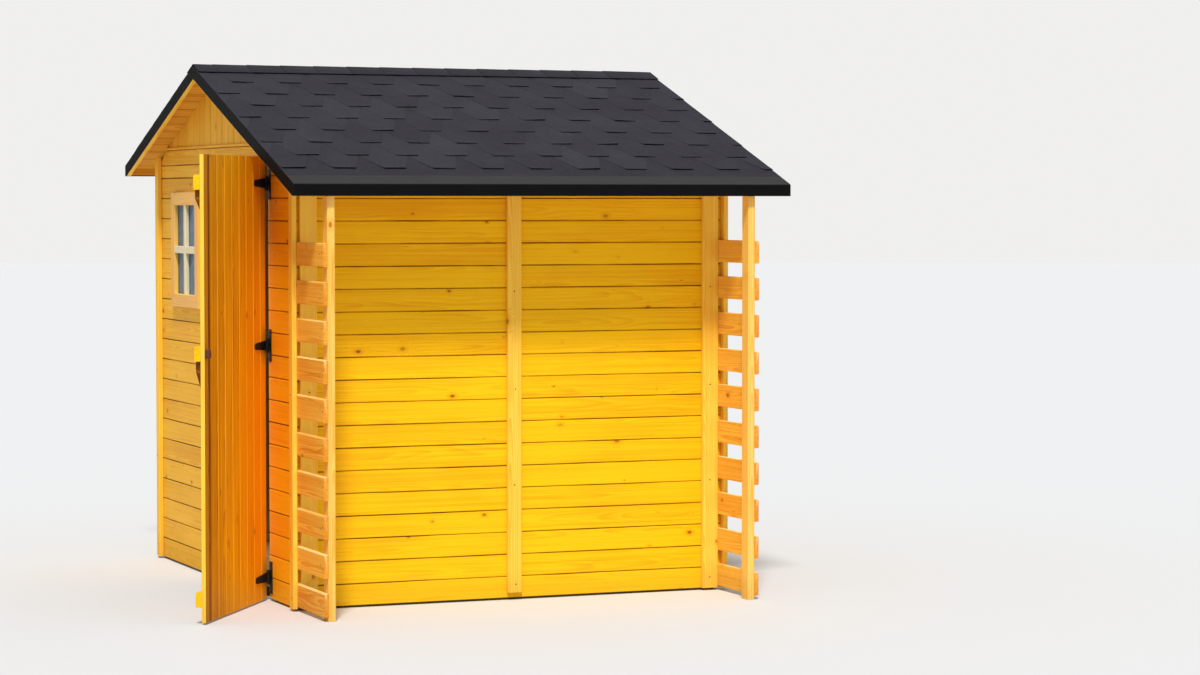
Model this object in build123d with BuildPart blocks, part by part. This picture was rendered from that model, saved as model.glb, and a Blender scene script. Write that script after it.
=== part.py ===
from build123d import *
from math import atan2, cos, degrees, radians, sin, tan
import os

os.makedirs("parts", exist_ok=True)

# A timber garden shed with an open, slatted store in front of its long wall and a ledged door in
# its left gable. X runs along the ridge, Y from the front to the rear, Z up. The origin lies under
# the middle of the enclosed body, level with the bearers' undersides. Sizes are in millimetres.

# Enclosed body, over the outer faces of its cladding
width = 1840
depth = 2060
cladding = 18
timber = 45             # square framing timber
wall_foot = 10          # the cladding stops this far above the bearers' undersides
door_head = 42          # cladding over the doorway, up to the gables' upright boards
floor_board = 16
floor_setback = 4       # in from the frame's outer face, clear of the closed door
framing_gap = 1.5       # where a side sole plate meets another end to end
bearer_count = 5
front_stud_count = 5
side_stud_count = 4

# Roof, measured on the tops of its shingles
roof_angle = 19.23
wall_drop = 32          # from the gables' upright boards down to the roof at the front wall
ridge_forward = 8       # the ridge stands this far in front of the middle of the body
verge_overhang = 125    # past each gable
front_overhang = 31     # past the store's posts
rear_overhang = 125     # past the rear wall
shingle = 6
roof_board = 18
ridge_beam_depth = 70
cap_thickness = 5
cap_reach = 98          # the ridge cap's reach down each slope
flashing = 1.5
flashing_lap = 60       # the flashings' reach in under the shingles
eave_band = 46
verge_band = 52
fascia_board = 18
fascia_depth = 42
bargeboard_depth = 57

# Open store between the front wall and its two posts
store_depth = 375
post_width = 30
post_depth = 62
slat_height = 92
slat_foot = 17
slat_pitch = 149.4
slat_count = 10

# Battens and trims outside the cladding
trim = 20
trim_width = 48
trim_forward = 35       # the front corner trims reach this far in front of the front wall
side_batten = 70
middle_batten = 60
middle_batten_foot = 31
drip_rail = 12          # a thin strip along the seam of the level and upright boards
drip_rail_proud = 8

# Window in the left gable, measured where its glass shows
window_width = 333
window_height = 390
window_centre = 535     # behind the middle of the body
window_below_seam = 245 # from the gables' upright boards down to the top of the glass
window_rebate = 10
window_casing_width = 57
glass = 4
glazing_bar = 32
glazing_bar_depth = 18

# Door in the left gable, measured over its boards
door_width = 770
door_height = 1783
door_foot = 8
door_gap = 7
door_from_front = 358   # from the front wall's outer face to the leaf's hinged edge
door_open = 146         # degrees from closed, as it stands
door_board = 16
ledge_height = 57
ledge_thickness = 25
ledge_setback = 20      # from the hinged edge, clear of the frame
low_ledge = 95
middle_ledge = 1033
high_ledge_drop = 106   # from the top of the leaf

# Hinges: a plate on the wall, a strap on the leaf and three interleaved knuckles on a pin
hinge_sheet = 2.5
knuckle_radius = 5.5
pin_radius = 2.7
pin_play = 0.3
strap_knuckle = 24
plate_knuckle = 15
knuckle_play = 0.5
pin_end = 2
strap_length = 150
strap_root = 40
strap_tip = 25
wall_plate_height = 130
wall_plate_width = 38
leaf_play = 1           # between a knuckle and the sheet that passes it

# Latch block on the leaf's outer face, at its free edge
latch_width = 22
latch_height = 34
latch_proud = 20
latch_edge = 3

# Faces and levels that follow from the sizes above
gable_x = width / 2
front_y = -depth / 2
rear_y = depth / 2
frame_x = gable_x - cladding
floor_x = frame_x - floor_setback
frame_front = front_y + cladding
frame_rear = rear_y - cladding
ridge_y = -ridge_forward
store_front = front_y - store_depth
front_eave = store_front - front_overhang
rear_eave = rear_y + rear_overhang
verge_x = gable_x + verge_overhang
slope = tan(radians(roof_angle))
square_on = 1 / cos(radians(roof_angle))
boards_under = shingle + roof_board
rafters_under = boards_under + timber
floor_top = timber + floor_board
sole_top = floor_top + timber
opening_near = front_y + door_from_front - door_gap
opening_far = opening_near + door_width + 2 * door_gap
opening_top = door_foot + door_height + door_gap
gable_seam = opening_top + door_head
deck_underside = gable_seam - wall_drop
ridge_height = deck_underside + (ridge_y - frame_front) * slope + boards_under * square_on
ledge_levels = (low_ledge, middle_ledge, door_foot + door_height - high_ledge_drop)


def roof_z(y, below=0):
    """Height at y of the plane this far below the tops of the shingles, square to the slope."""
    return ridge_height - abs(y - ridge_y) * slope - below * square_on


def slope_face(high_y, low_y, top, bottom):
    """Fill the open sketch with one layer of a slope, between two depths below the shingles."""
    outline(
        (high_y, roof_z(high_y, top)),
        (low_y, roof_z(low_y, top)),
        (low_y, roof_z(low_y, bottom)),
        (high_y, roof_z(high_y, bottom)),
    )


def outline(*points):
    """Fill the open sketch with a straight-sided outline."""
    with BuildLine() as edge:
        Polyline(*points, close=True)
    make_face(edge.edges())


def block(x, y, z):
    """Add a square-cut piece between two x, two y and two z values to the open part."""
    with BuildSketch(Plane.XY.offset(z[0])) as plan:
        with Locations(((x[0] + x[1]) / 2, (y[0] + y[1]) / 2)):
            Rectangle(x[1] - x[0], y[1] - y[0])
    extrude(plan.sketch, amount=z[1] - z[0])


def spread(first, last, count):
    """Evenly spaced values from the first to the last."""
    return [first + (last - first) * step / (count - 1) for step in range(count)]


plate_top = roof_z(frame_front + timber, rafters_under)
plate_foot = plate_top - timber
rear_plate_top = roof_z(frame_rear - timber, rafters_under)
front_soffit = roof_z(front_eave, shingle) - eave_band
rear_soffit = roof_z(rear_eave, shingle) - eave_band
corner_x = frame_x - timber / 2
hinge_x = -gable_x - knuckle_radius
hinge_y = opening_near + door_gap / 2

# Floor: bearers under a boarded deck
with BuildPart() as floor_bearers:
    for y in spread(frame_front + timber / 2, frame_rear - timber / 2, bearer_count):
        block((-floor_x, floor_x), (y - timber / 2, y + timber / 2), (0, timber))
floor_bearers.part.label = "floor_bearers"
export_step(floor_bearers.part, "parts/floor_bearers.step")

with BuildPart() as floor_boards:
    block(
        (-floor_x, floor_x),
        (frame_front + floor_setback, frame_rear - floor_setback),
        (timber, floor_top),
    )
floor_boards.part.label = "floor_boards"
export_step(floor_boards.part, "parts/floor_boards.step")

# Wall frames: sole plates on the deck, studs on them, plates and tie beams on the studs
with BuildPart() as sole_plates:
    for y in (frame_front, frame_rear - timber):
        block((-frame_x, frame_x), (y, y + timber), (floor_top, sole_top))
    side_runs = (
        (-frame_x, frame_front + timber, opening_near),
        (-frame_x, opening_far, frame_rear - timber),
        (frame_x - timber, frame_front + timber, frame_rear - timber),
    )
    for x, near, far in side_runs:
        block((x, x + timber), (near + framing_gap, far - framing_gap), (floor_top, sole_top))
sole_plates.part.label = "sole_plates"
export_step(sole_plates.part, "parts/sole_plates.step")

with BuildPart() as front_wall_studs:
    for x in spread(-corner_x, corner_x, front_stud_count):
        block(
            (x - timber / 2, x + timber / 2),
            (frame_front, frame_front + timber),
            (sole_top, plate_foot),
        )
front_wall_studs.part.label = "front_wall_studs"
export_step(front_wall_studs.part, "parts/front_wall_studs.step")

with BuildPart() as rear_wall_studs:
    for x in spread(-corner_x, corner_x, front_stud_count):
        block(
            (x - timber / 2, x + timber / 2),
            (frame_rear - timber, frame_rear),
            (sole_top, rear_plate_top - timber),
        )
rear_wall_studs.part.label = "rear_wall_studs"
export_step(rear_wall_studs.part, "parts/rear_wall_studs.step")

window_near = window_centre - window_width / 2
window_far = window_centre + window_width / 2
window_top = gable_seam - window_below_seam
window_foot = window_top - window_height
with BuildPart() as left_wall_studs:
    for y in (opening_near - timber, opening_far, window_near - timber, window_far):
        block((-frame_x, timber - frame_x), (y, y + timber), (sole_top, opening_top))
left_wall_studs.part.label = "left_wall_studs"
export_step(left_wall_studs.part, "parts/left_wall_studs.step")

with BuildPart() as right_wall_studs:
    for y in spread(frame_front + timber, frame_rear - timber, side_stud_count + 2)[1:-1]:
        block(
            (frame_x - timber, frame_x),
            (y - timber / 2, y + timber / 2),
            (sole_top, opening_top),
        )
right_wall_studs.part.label = "right_wall_studs"
export_step(right_wall_studs.part, "parts/right_wall_studs.step")

with BuildPart() as window_rails:
    for z in (window_foot - timber, window_top):
        block((-frame_x, timber - frame_x), (window_near, window_far), (z, z + timber))
window_rails.part.label = "window_rails"
export_step(window_rails.part, "parts/window_rails.step")

with BuildPart() as wall_plates:
    block((-frame_x, frame_x), (frame_front, frame_front + timber), (plate_foot, plate_top))
    block(
        (-frame_x, frame_x),
        (frame_rear - timber, frame_rear),
        (rear_plate_top - timber, rear_plate_top),
    )
wall_plates.part.label = "wall_plates"
export_step(wall_plates.part, "parts/wall_plates.step")

# Roof frame: a ridge beam, rafters seated on it and on the wall plates, and a beam on the posts
ridge_beam_top = roof_z(ridge_y + timber / 2, boards_under)
with BuildPart() as ridge_beam:
    block(
        (-frame_x, frame_x),
        (ridge_y - timber / 2, ridge_y + timber / 2),
        (ridge_beam_top - ridge_beam_depth, ridge_beam_top),
    )
ridge_beam.part.label = "ridge_beam"
export_step(ridge_beam.part, "parts/ridge_beam.step")

rafter_x = (-frame_x, -timber / 2, frame_x - timber)
beam_rear = store_front + post_depth
with BuildPart() as front_rafters:
    for x in rafter_x:
        with BuildSketch(Plane.YZ.offset(x)):
            slope_face(ridge_y - timber / 2, beam_rear, boards_under, rafters_under)
        extrude(amount=timber)
    add(wall_plates.part, mode=Mode.SUBTRACT)
front_rafters.part.label = "front_rafters"
export_step(front_rafters.part, "parts/front_rafters.step")

with BuildPart() as rear_rafters:
    for x in rafter_x:
        with BuildSketch(Plane.YZ.offset(x)):
            slope_face(
                ridge_y + timber / 2,
                rear_eave - flashing - fascia_board,
                boards_under,
                rafters_under,
            )
        extrude(amount=timber)
    add(wall_plates.part, mode=Mode.SUBTRACT)
rear_rafters.part.label = "rear_rafters"
export_step(rear_rafters.part, "parts/rear_rafters.step")

with BuildPart() as tie_beams:
    for x in (-frame_x, frame_x - timber):
        with BuildSketch(Plane.YZ.offset(x)):
            outline(
                (ridge_y - (roof_z(ridge_y, rafters_under) - opening_top) / slope, opening_top),
                (ridge_y + (roof_z(ridge_y, rafters_under) - opening_top) / slope, opening_top),
                (
                    ridge_y + (roof_z(ridge_y, rafters_under) - opening_top - timber) / slope,
                    opening_top + timber,
                ),
                (
                    ridge_y - (roof_z(ridge_y, rafters_under) - opening_top - timber) / slope,
                    opening_top + timber,
                ),
            )
        extrude(amount=timber)
tie_beams.part.label = "tie_beams"
export_step(tie_beams.part, "parts/tie_beams.step")

with BuildPart() as store_beam:
    with BuildSketch(Plane.YZ.offset(-frame_x)):
        outline(
            (store_front, front_soffit),
            (beam_rear, front_soffit),
            (beam_rear, roof_z(beam_rear, boards_under)),
            (store_front, roof_z(store_front, boards_under)),
        )
    extrude(amount=2 * frame_x)
store_beam.part.label = "store_beam"
export_step(store_beam.part, "parts/store_beam.step")

# Cladding, in level boards: the front and rear walls cover the gables' edges and close round
# the rafters
with BuildPart() as front_wall_boards:
    with BuildSketch(Plane.YZ.offset(-gable_x)):
        outline(
            (front_y, wall_foot),
            (frame_front, wall_foot),
            (frame_front, roof_z(frame_front, boards_under)),
            (front_y, roof_z(front_y, boards_under)),
        )
    extrude(amount=width)
    add(front_rafters.part, mode=Mode.SUBTRACT)
front_wall_boards.part.label = "front_wall_boards"
export_step(front_wall_boards.part, "parts/front_wall_boards.step")

with BuildPart() as rear_wall_boards:
    with BuildSketch(Plane.YZ.offset(-gable_x)):
        outline(
            (frame_rear, wall_foot),
            (rear_y, wall_foot),
            (rear_y, roof_z(rear_y, boards_under)),
            (frame_rear, roof_z(frame_rear, boards_under)),
        )
    extrude(amount=width)
    add(rear_rafters.part, mode=Mode.SUBTRACT)
rear_wall_boards.part.label = "rear_wall_boards"
export_step(rear_wall_boards.part, "parts/rear_wall_boards.step")

seam_run = (roof_z(ridge_y, boards_under) - gable_seam) / slope
seam_front = ridge_y - seam_run
seam_rear = ridge_y + seam_run
with BuildPart() as right_wall_boards:
    with BuildSketch(Plane.YZ.offset(frame_x)):
        outline(
            (frame_front, wall_foot),
            (frame_rear, wall_foot),
            (frame_rear, roof_z(frame_rear, boards_under)),
            (seam_rear, gable_seam),
            (seam_front, gable_seam),
            (frame_front, roof_z(frame_front, boards_under)),
        )
    extrude(amount=cladding)
right_wall_boards.part.label = "right_wall_boards"
export_step(right_wall_boards.part, "parts/right_wall_boards.step")

with BuildPart() as left_wall_boards_front:
    with BuildSketch(Plane.YZ.offset(-gable_x)):
        outline(
            (frame_front, wall_foot),
            (opening_near, wall_foot),
            (opening_near, gable_seam),
            (seam_front, gable_seam),
            (frame_front, roof_z(frame_front, boards_under)),
        )
    extrude(amount=cladding)
left_wall_boards_front.part.label = "left_wall_boards_front"
export_step(left_wall_boards_front.part, "parts/left_wall_boards_front.step")

with BuildPart() as left_wall_boards_head:
    block((-gable_x, -frame_x), (opening_near, opening_far), (opening_top, gable_seam))
left_wall_boards_head.part.label = "left_wall_boards_head"
export_step(left_wall_boards_head.part, "parts/left_wall_boards_head.step")

window_middle = (window_centre, window_top - window_height / 2)
with BuildPart() as left_wall_boards_rear:
    with BuildSketch(Plane.YZ.offset(-gable_x)):
        outline(
            (opening_far, wall_foot),
            (frame_rear, wall_foot),
            (frame_rear, roof_z(frame_rear, boards_under)),
            (seam_rear, gable_seam),
            (opening_far, gable_seam),
        )
        with Locations(window_middle):
            Rectangle(
                window_width + 2 * window_rebate,
                window_height + 2 * window_rebate,
                mode=Mode.SUBTRACT,
            )
    extrude(amount=cladding)
left_wall_boards_rear.part.label = "left_wall_boards_rear"
export_step(left_wall_boards_rear.part, "parts/left_wall_boards_rear.step")

# The gables' upright boards, and the drip rail that covers their feet
gable_peak = (ridge_y, roof_z(ridge_y, boards_under))
with BuildPart() as gable_boards:
    for x in (-gable_x, frame_x):
        with BuildSketch(Plane.YZ.offset(x)):
            outline((seam_front, gable_seam), (seam_rear, gable_seam), gable_peak)
        extrude(amount=cladding)
gable_boards.part.label = "gable_boards"
export_step(gable_boards.part, "parts/gable_boards.step")

rail_run = seam_run - drip_rail / slope
with BuildPart() as drip_rails:
    for x in (-gable_x - drip_rail_proud, gable_x):
        with BuildSketch(Plane.YZ.offset(x)):
            outline(
                (seam_front, gable_seam),
                (seam_rear, gable_seam),
                (ridge_y + rail_run, gable_seam + drip_rail),
                (ridge_y - rail_run, gable_seam + drip_rail),
            )
        extrude(amount=drip_rail_proud)
drip_rails.part.label = "drip_rails"
export_step(drip_rails.part, "parts/drip_rails.step")

# Corner trims on the gables: the front pair also covers the slats' rear ends
trim_runs = (
    (front_y - trim_forward, front_y - trim_forward + trim_width),
    (rear_y - trim_width, rear_y),
)
with BuildPart() as corner_trims:
    for x in (-gable_x - trim, gable_x):
        for near, far in trim_runs:
            with BuildSketch(Plane.YZ.offset(x)):
                outline(
                    (near, wall_foot),
                    (far, wall_foot),
                    (far, roof_z(far, boards_under)),
                    (near, roof_z(near, boards_under)),
                )
            extrude(amount=trim)
corner_trims.part.label = "corner_trims"
export_step(corner_trims.part, "parts/corner_trims.step")

# Cover battens on the front and rear walls, up to the rafters
batten_x = (
    (-frame_x, side_batten - frame_x, wall_foot),
    (-middle_batten / 2, middle_batten / 2, middle_batten_foot),
    (frame_x - side_batten, frame_x, wall_foot),
)
batten_y = ((front_y - trim, front_y, front_y - trim), (rear_y, rear_y + trim, rear_y + trim))
with BuildPart() as wall_battens:
    for near, far, outer in batten_y:
        for left, right, foot in batten_x:
            block((left, right), (near, far), (foot, roof_z(outer, rafters_under)))
wall_battens.part.label = "wall_battens"
export_step(wall_battens.part, "parts/wall_battens.step")

# Store: two posts under the beam, and a row of spaced slats from each post back to the wall
with BuildPart() as store_posts:
    for x in (-frame_x, frame_x - post_width):
        block((x, x + post_width), (store_front, beam_rear), (0, front_soffit))
store_posts.part.label = "store_posts"
export_step(store_posts.part, "parts/store_posts.step")

with BuildPart() as left_store_slats:
    for row in range(slat_count):
        foot = slat_foot + row * slat_pitch
        block((-gable_x, -frame_x), (store_front, front_y), (foot, foot + slat_height))
left_store_slats.part.label = "left_store_slats"
export_step(left_store_slats.part, "parts/left_store_slats.step")

with BuildPart() as right_store_slats:
    for row in range(slat_count):
        foot = slat_foot + row * slat_pitch
        block((frame_x, gable_x), (store_front, front_y), (foot, foot + slat_height))
right_store_slats.part.label = "right_store_slats"
export_step(right_store_slats.part, "parts/right_store_slats.step")

# Window: a casing on the wall, cross bars that stand in it, the pane behind both in the wall's
# rebate, and the bead that holds the pane from inside
with BuildPart() as window_casing:
    with BuildSketch(Plane.YZ.offset(-gable_x - trim)):
        with Locations(window_middle):
            Rectangle(
                window_width + 2 * window_casing_width,
                window_height + 2 * window_casing_width,
            )
            Rectangle(window_width, window_height, mode=Mode.SUBTRACT)
    extrude(amount=trim)
    with BuildSketch(Plane.YZ.offset(glass - gable_x)):
        with Locations(window_middle):
            Rectangle(window_width + 2 * window_rebate, window_height + 2 * window_rebate)
            Rectangle(window_width, window_height, mode=Mode.SUBTRACT)
    extrude(amount=cladding - glass)
window_casing.part.label = "window_casing"
export_step(window_casing.part, "parts/window_casing.step")

with BuildPart() as window_bars:
    with BuildSketch(Plane.YZ.offset(-gable_x - glazing_bar_depth)):
        with Locations(window_middle):
            Rectangle(glazing_bar, window_height)
            Rectangle(window_width, glazing_bar)
    extrude(amount=glazing_bar_depth)
window_bars.part.label = "window_bars"
export_step(window_bars.part, "parts/window_bars.step")

with BuildPart() as window_glass:
    with BuildSketch(Plane.YZ.offset(-gable_x)):
        with Locations(window_middle):
            Rectangle(window_width + 2 * window_rebate, window_height + 2 * window_rebate)
    extrude(amount=glass)
window_glass.part.label = "window_glass"
export_step(window_glass.part, "parts/window_glass.step")

# Roof deck and its edge boards
deck_x = verge_x - flashing - fascia_board
with BuildPart() as front_roof_boards:
    with BuildSketch(Plane.YZ.offset(-deck_x)):
        slope_face(ridge_y, front_eave + flashing + fascia_board, shingle, boards_under)
    extrude(amount=2 * deck_x)
front_roof_boards.part.label = "front_roof_boards"
export_step(front_roof_boards.part, "parts/front_roof_boards.step")

with BuildPart() as rear_roof_boards:
    with BuildSketch(Plane.YZ.offset(-deck_x)):
        slope_face(ridge_y, rear_eave - flashing - fascia_board, shingle, boards_under)
    extrude(amount=2 * deck_x)
rear_roof_boards.part.label = "rear_roof_boards"
export_step(rear_roof_boards.part, "parts/rear_roof_boards.step")

with BuildPart() as eave_fascias:
    for outer, inner in (
        (front_eave + flashing, front_eave + flashing + fascia_board),
        (rear_eave - flashing, rear_eave - flashing - fascia_board),
    ):
        foot = roof_z(outer, shingle) - fascia_depth
        with BuildSketch(Plane.YZ.offset(-deck_x)):
            outline(
                (outer, foot),
                (inner, foot),
                (inner, roof_z(inner, shingle)),
                (outer, roof_z(outer, shingle)),
            )
        extrude(amount=2 * deck_x)
eave_fascias.part.label = "eave_fascias"
export_step(eave_fascias.part, "parts/eave_fascias.step")

with BuildPart() as bargeboards:
    for x in (-deck_x - fascia_board, deck_x):
        with BuildSketch(Plane.YZ.offset(x)):
            ends = (front_eave + flashing, ridge_y, rear_eave - flashing)
            top_edge = [(y, roof_z(y, shingle)) for y in ends]
            foot_edge = [(y, roof_z(y, shingle) - bargeboard_depth) for y in reversed(ends)]
            outline(*top_edge, *foot_edge)
        extrude(amount=fascia_board)
bargeboards.part.label = "bargeboards"
export_step(bargeboards.part, "parts/bargeboards.step")

# Folded metal edges: each laps in under the shingles and hangs down outside its board
flashing_top = shingle - flashing
with BuildPart() as eave_flashings:
    for eave, inward, soffit in ((front_eave, 1, front_soffit), (rear_eave, -1, rear_soffit)):
        fold = eave + inward * flashing
        lap = eave + inward * flashing_lap
        with BuildSketch(Plane.YZ.offset(-verge_x)):
            outline(
                (eave, soffit),
                (fold, soffit),
                (fold, roof_z(fold, shingle)),
                (lap, roof_z(lap, shingle)),
                (lap, roof_z(lap, flashing_top)),
                (eave, roof_z(eave, flashing_top)),
            )
        extrude(amount=2 * verge_x)
eave_flashings.part.label = "eave_flashings"
export_step(eave_flashings.part, "parts/eave_flashings.step")

with BuildPart() as verge_flashings:
    for side in (-1, 1):
        ends = (front_eave + flashing, ridge_y, rear_eave - flashing)
        lap_edge = [(y, roof_z(y, flashing_top)) for y in ends]
        deck_edge = [(y, roof_z(y, shingle)) for y in reversed(ends)]
        foot_edge = [(y, roof_z(y, shingle) - verge_band) for y in reversed(ends)]
        with BuildSketch(Plane.YZ.offset(side * verge_x)):
            outline(*lap_edge, *foot_edge)
        extrude(amount=-side * flashing)
        with BuildSketch(Plane.YZ.offset(side * verge_x)):
            outline(*lap_edge, *deck_edge)
        extrude(amount=-side * flashing_lap)
    add(eave_flashings.part, mode=Mode.SUBTRACT)
verge_flashings.part.label = "verge_flashings"
export_step(verge_flashings.part, "parts/verge_flashings.step")

# Bitumen shingles, one layer a slope with the folded edges let into its underside, and their cap
with BuildPart() as front_shingles:
    with BuildSketch(Plane.YZ.offset(-verge_x)):
        slope_face(ridge_y, front_eave, 0, shingle)
    extrude(amount=2 * verge_x)
    add(eave_flashings.part, mode=Mode.SUBTRACT)
    add(verge_flashings.part, mode=Mode.SUBTRACT)
front_shingles.part.label = "front_shingles"
export_step(front_shingles.part, "parts/front_shingles.step")

with BuildPart() as rear_shingles:
    with BuildSketch(Plane.YZ.offset(-verge_x)):
        slope_face(ridge_y, rear_eave, 0, shingle)
    extrude(amount=2 * verge_x)
    add(eave_flashings.part, mode=Mode.SUBTRACT)
    add(verge_flashings.part, mode=Mode.SUBTRACT)
rear_shingles.part.label = "rear_shingles"
export_step(rear_shingles.part, "parts/rear_shingles.step")

with BuildPart() as ridge_cap:
    cap_ends = (ridge_y - cap_reach, ridge_y, ridge_y + cap_reach)
    with BuildSketch(Plane.YZ.offset(-verge_x)):
        cap_top = [(y, roof_z(y, -cap_thickness)) for y in cap_ends]
        cap_foot = [(y, roof_z(y)) for y in reversed(cap_ends)]
        outline(*cap_top, *cap_foot)
    extrude(amount=2 * verge_x)
ridge_cap.part.label = "ridge_cap"
export_step(ridge_cap.part, "parts/ridge_cap.step")

# Door: everything on the leaf is drawn on two planes that turn with it about the hinges' axis.
# On leaf_plan x runs along the leaf and y out of its face. On leaf_face x runs along the leaf,
# y up and z in towards its ledges.
leaf_way = radians(90 + door_open)
leaf_plan = Plane(
    origin=(hinge_x, hinge_y, 0),
    x_dir=(cos(leaf_way), sin(leaf_way), 0),
    z_dir=(0, 0, 1),
)
leaf_face = Plane(origin=(hinge_x, hinge_y, 0), x_dir=leaf_plan.x_dir, z_dir=-leaf_plan.y_dir)
leaf_near = door_gap / 2
leaf_far = leaf_near + door_width
leaf_back = knuckle_radius + door_board

with BuildPart() as door_boards:
    with BuildSketch(leaf_face.offset(knuckle_radius)):
        with Locations(((leaf_near + leaf_far) / 2, door_foot + door_height / 2)):
            Rectangle(door_width, door_height)
    extrude(amount=door_board)
door_boards.part.label = "door_boards"
export_step(door_boards.part, "parts/door_boards.step")

with BuildPart() as door_ledges:
    with BuildSketch(leaf_face.offset(leaf_back)):
        for level in ledge_levels:
            with Locations(((leaf_near + ledge_setback + leaf_far) / 2, level)):
                Rectangle(door_width - ledge_setback, ledge_height)
    extrude(amount=ledge_thickness)
door_ledges.part.label = "door_ledges"
export_step(door_ledges.part, "parts/door_ledges.step")

with BuildPart() as door_braces:
    for lower, upper in zip(ledge_levels, ledge_levels[1:]):
        bay_span = door_width - 2 * ledge_setback
        bay_height = upper - lower - ledge_height
        bay_middle = ((leaf_near + leaf_far) / 2, (lower + upper) / 2)
        with BuildSketch(leaf_face.offset(leaf_back)):
            with Locations(Location(bay_middle, degrees(atan2(bay_height, bay_span)))):
                Rectangle(2 * bay_span, ledge_height)
            with Locations(bay_middle):
                Rectangle(bay_span, bay_height, mode=Mode.INTERSECT)
        extrude(amount=ledge_thickness)
door_braces.part.label = "door_braces"
export_step(door_braces.part, "parts/door_braces.step")

with BuildPart() as door_latch:
    with BuildSketch(leaf_face.offset(knuckle_radius)):
        with Locations((leaf_far - latch_edge - latch_width / 2, middle_ledge)):
            RectangleRounded(latch_width, latch_height, latch_width / 4)
    extrude(amount=-latch_proud)
    outer_rim = door_latch.faces().sort_by(Axis(leaf_face.origin, leaf_face.z_dir))[0].edges()
    chamfer(outer_rim, latch_proud / 6)
door_latch.part.label = "door_latch"
export_step(door_latch.part, "parts/door_latch.step")

# Tapered straps on the leaf, each with the middle knuckle of its hinge
sheet_root = knuckle_radius + leaf_play
with BuildPart() as hinge_straps:
    for level in ledge_levels:
        tip_middle = strap_length - strap_tip / 2
        with BuildSketch(leaf_face.offset(knuckle_radius - hinge_sheet)):
            with BuildLine():
                Line((sheet_root, level + strap_root / 2), (sheet_root, level - strap_root / 2))
                Line((sheet_root, level - strap_root / 2), (tip_middle, level - strap_tip / 2))
                ThreePointArc(
                    (tip_middle, level - strap_tip / 2),
                    (strap_length, level),
                    (tip_middle, level + strap_tip / 2),
                )
                Line((tip_middle, level + strap_tip / 2), (sheet_root, level + strap_root / 2))
            make_face()
            with Locations((sheet_root / 2, level)):
                Rectangle(sheet_root, strap_knuckle)
        extrude(amount=hinge_sheet)
        with BuildSketch(leaf_plan.offset(level - strap_knuckle / 2)):
            Circle(knuckle_radius)
        extrude(amount=strap_knuckle)
        with BuildSketch(leaf_plan.offset(level - strap_knuckle / 2)):
            Circle(pin_radius + pin_play)
        extrude(amount=strap_knuckle, mode=Mode.SUBTRACT)
hinge_straps.part.label = "hinge_straps"
export_step(hinge_straps.part, "parts/hinge_straps.step")

# Plates on the wall, each with the outer two knuckles and the pin through all three
with BuildPart() as hinge_plates:
    plate_edge = hinge_y - sheet_root
    for level in ledge_levels:
        block(
            (-gable_x - hinge_sheet, -gable_x),
            (plate_edge - wall_plate_width, plate_edge),
            (level - wall_plate_height / 2, level + wall_plate_height / 2),
        )
        for foot in (
            level + strap_knuckle / 2 + knuckle_play,
            level - strap_knuckle / 2 - knuckle_play - plate_knuckle,
        ):
            block(
                (-gable_x - hinge_sheet, -gable_x),
                (plate_edge, hinge_y),
                (foot, foot + plate_knuckle),
            )
            with BuildSketch(Plane.XY.offset(foot)):
                with Locations((hinge_x, hinge_y)):
                    Circle(knuckle_radius)
            extrude(amount=plate_knuckle)
        pin_half = strap_knuckle / 2 + knuckle_play + plate_knuckle + pin_end
        with BuildSketch(Plane.XY.offset(level - pin_half)):
            with Locations((hinge_x, hinge_y)):
                Circle(pin_radius)
        extrude(amount=2 * pin_half)
hinge_plates.part.label = "hinge_plates"
export_step(hinge_plates.part, "parts/hinge_plates.step")
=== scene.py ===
import math
import random

import bmesh
import bpy
from mathutils import Matrix, Vector


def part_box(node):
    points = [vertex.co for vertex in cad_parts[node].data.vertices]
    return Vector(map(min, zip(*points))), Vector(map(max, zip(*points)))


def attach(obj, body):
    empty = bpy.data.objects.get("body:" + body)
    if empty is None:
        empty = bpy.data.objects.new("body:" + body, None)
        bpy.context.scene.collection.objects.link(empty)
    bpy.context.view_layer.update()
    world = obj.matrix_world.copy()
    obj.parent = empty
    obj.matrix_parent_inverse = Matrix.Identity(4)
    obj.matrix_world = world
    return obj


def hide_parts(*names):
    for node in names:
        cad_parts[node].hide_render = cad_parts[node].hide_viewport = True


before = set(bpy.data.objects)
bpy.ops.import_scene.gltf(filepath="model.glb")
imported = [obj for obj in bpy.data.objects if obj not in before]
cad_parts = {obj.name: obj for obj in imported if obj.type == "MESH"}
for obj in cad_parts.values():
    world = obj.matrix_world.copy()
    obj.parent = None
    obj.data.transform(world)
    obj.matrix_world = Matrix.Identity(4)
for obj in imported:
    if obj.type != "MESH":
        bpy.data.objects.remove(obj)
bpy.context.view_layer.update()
scene = bpy.context.scene

# The studio: a pale floor under an even white light, with one broad key lamp high over the
# shed's front left corner, and the camera where the photograph was taken from.
def put(name, data):
    """Put a mesh, a lamp or a camera into the scene."""
    made = bpy.data.objects.new(name, data)
    scene.collection.objects.link(made)
    return made


scene.view_settings.view_transform = "Standard"
CAMERA_DIP, CAMERA_TURN = 2.449, -22.532
camera = put("camera", bpy.data.cameras.new("camera"))
camera.location = (-4.6175, -13.0755, 1.6146)
camera.rotation_euler = (math.radians(90 - CAMERA_DIP), 0, math.radians(CAMERA_TURN))
camera.data.lens = 95.88
camera.data.sensor_width = 36
camera.data.clip_end = 200
scene.camera = camera

key = put("key", bpy.data.lights.new("key", "SUN"))
key.data.energy = 3.0
key.data.angle = math.radians(9)
key.data.color = (1.0, 0.97, 0.92)
key.rotation_euler = Vector((0.42, 1.0, -1.5)).to_track_quat("-Z", "Y").to_euler()


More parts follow.
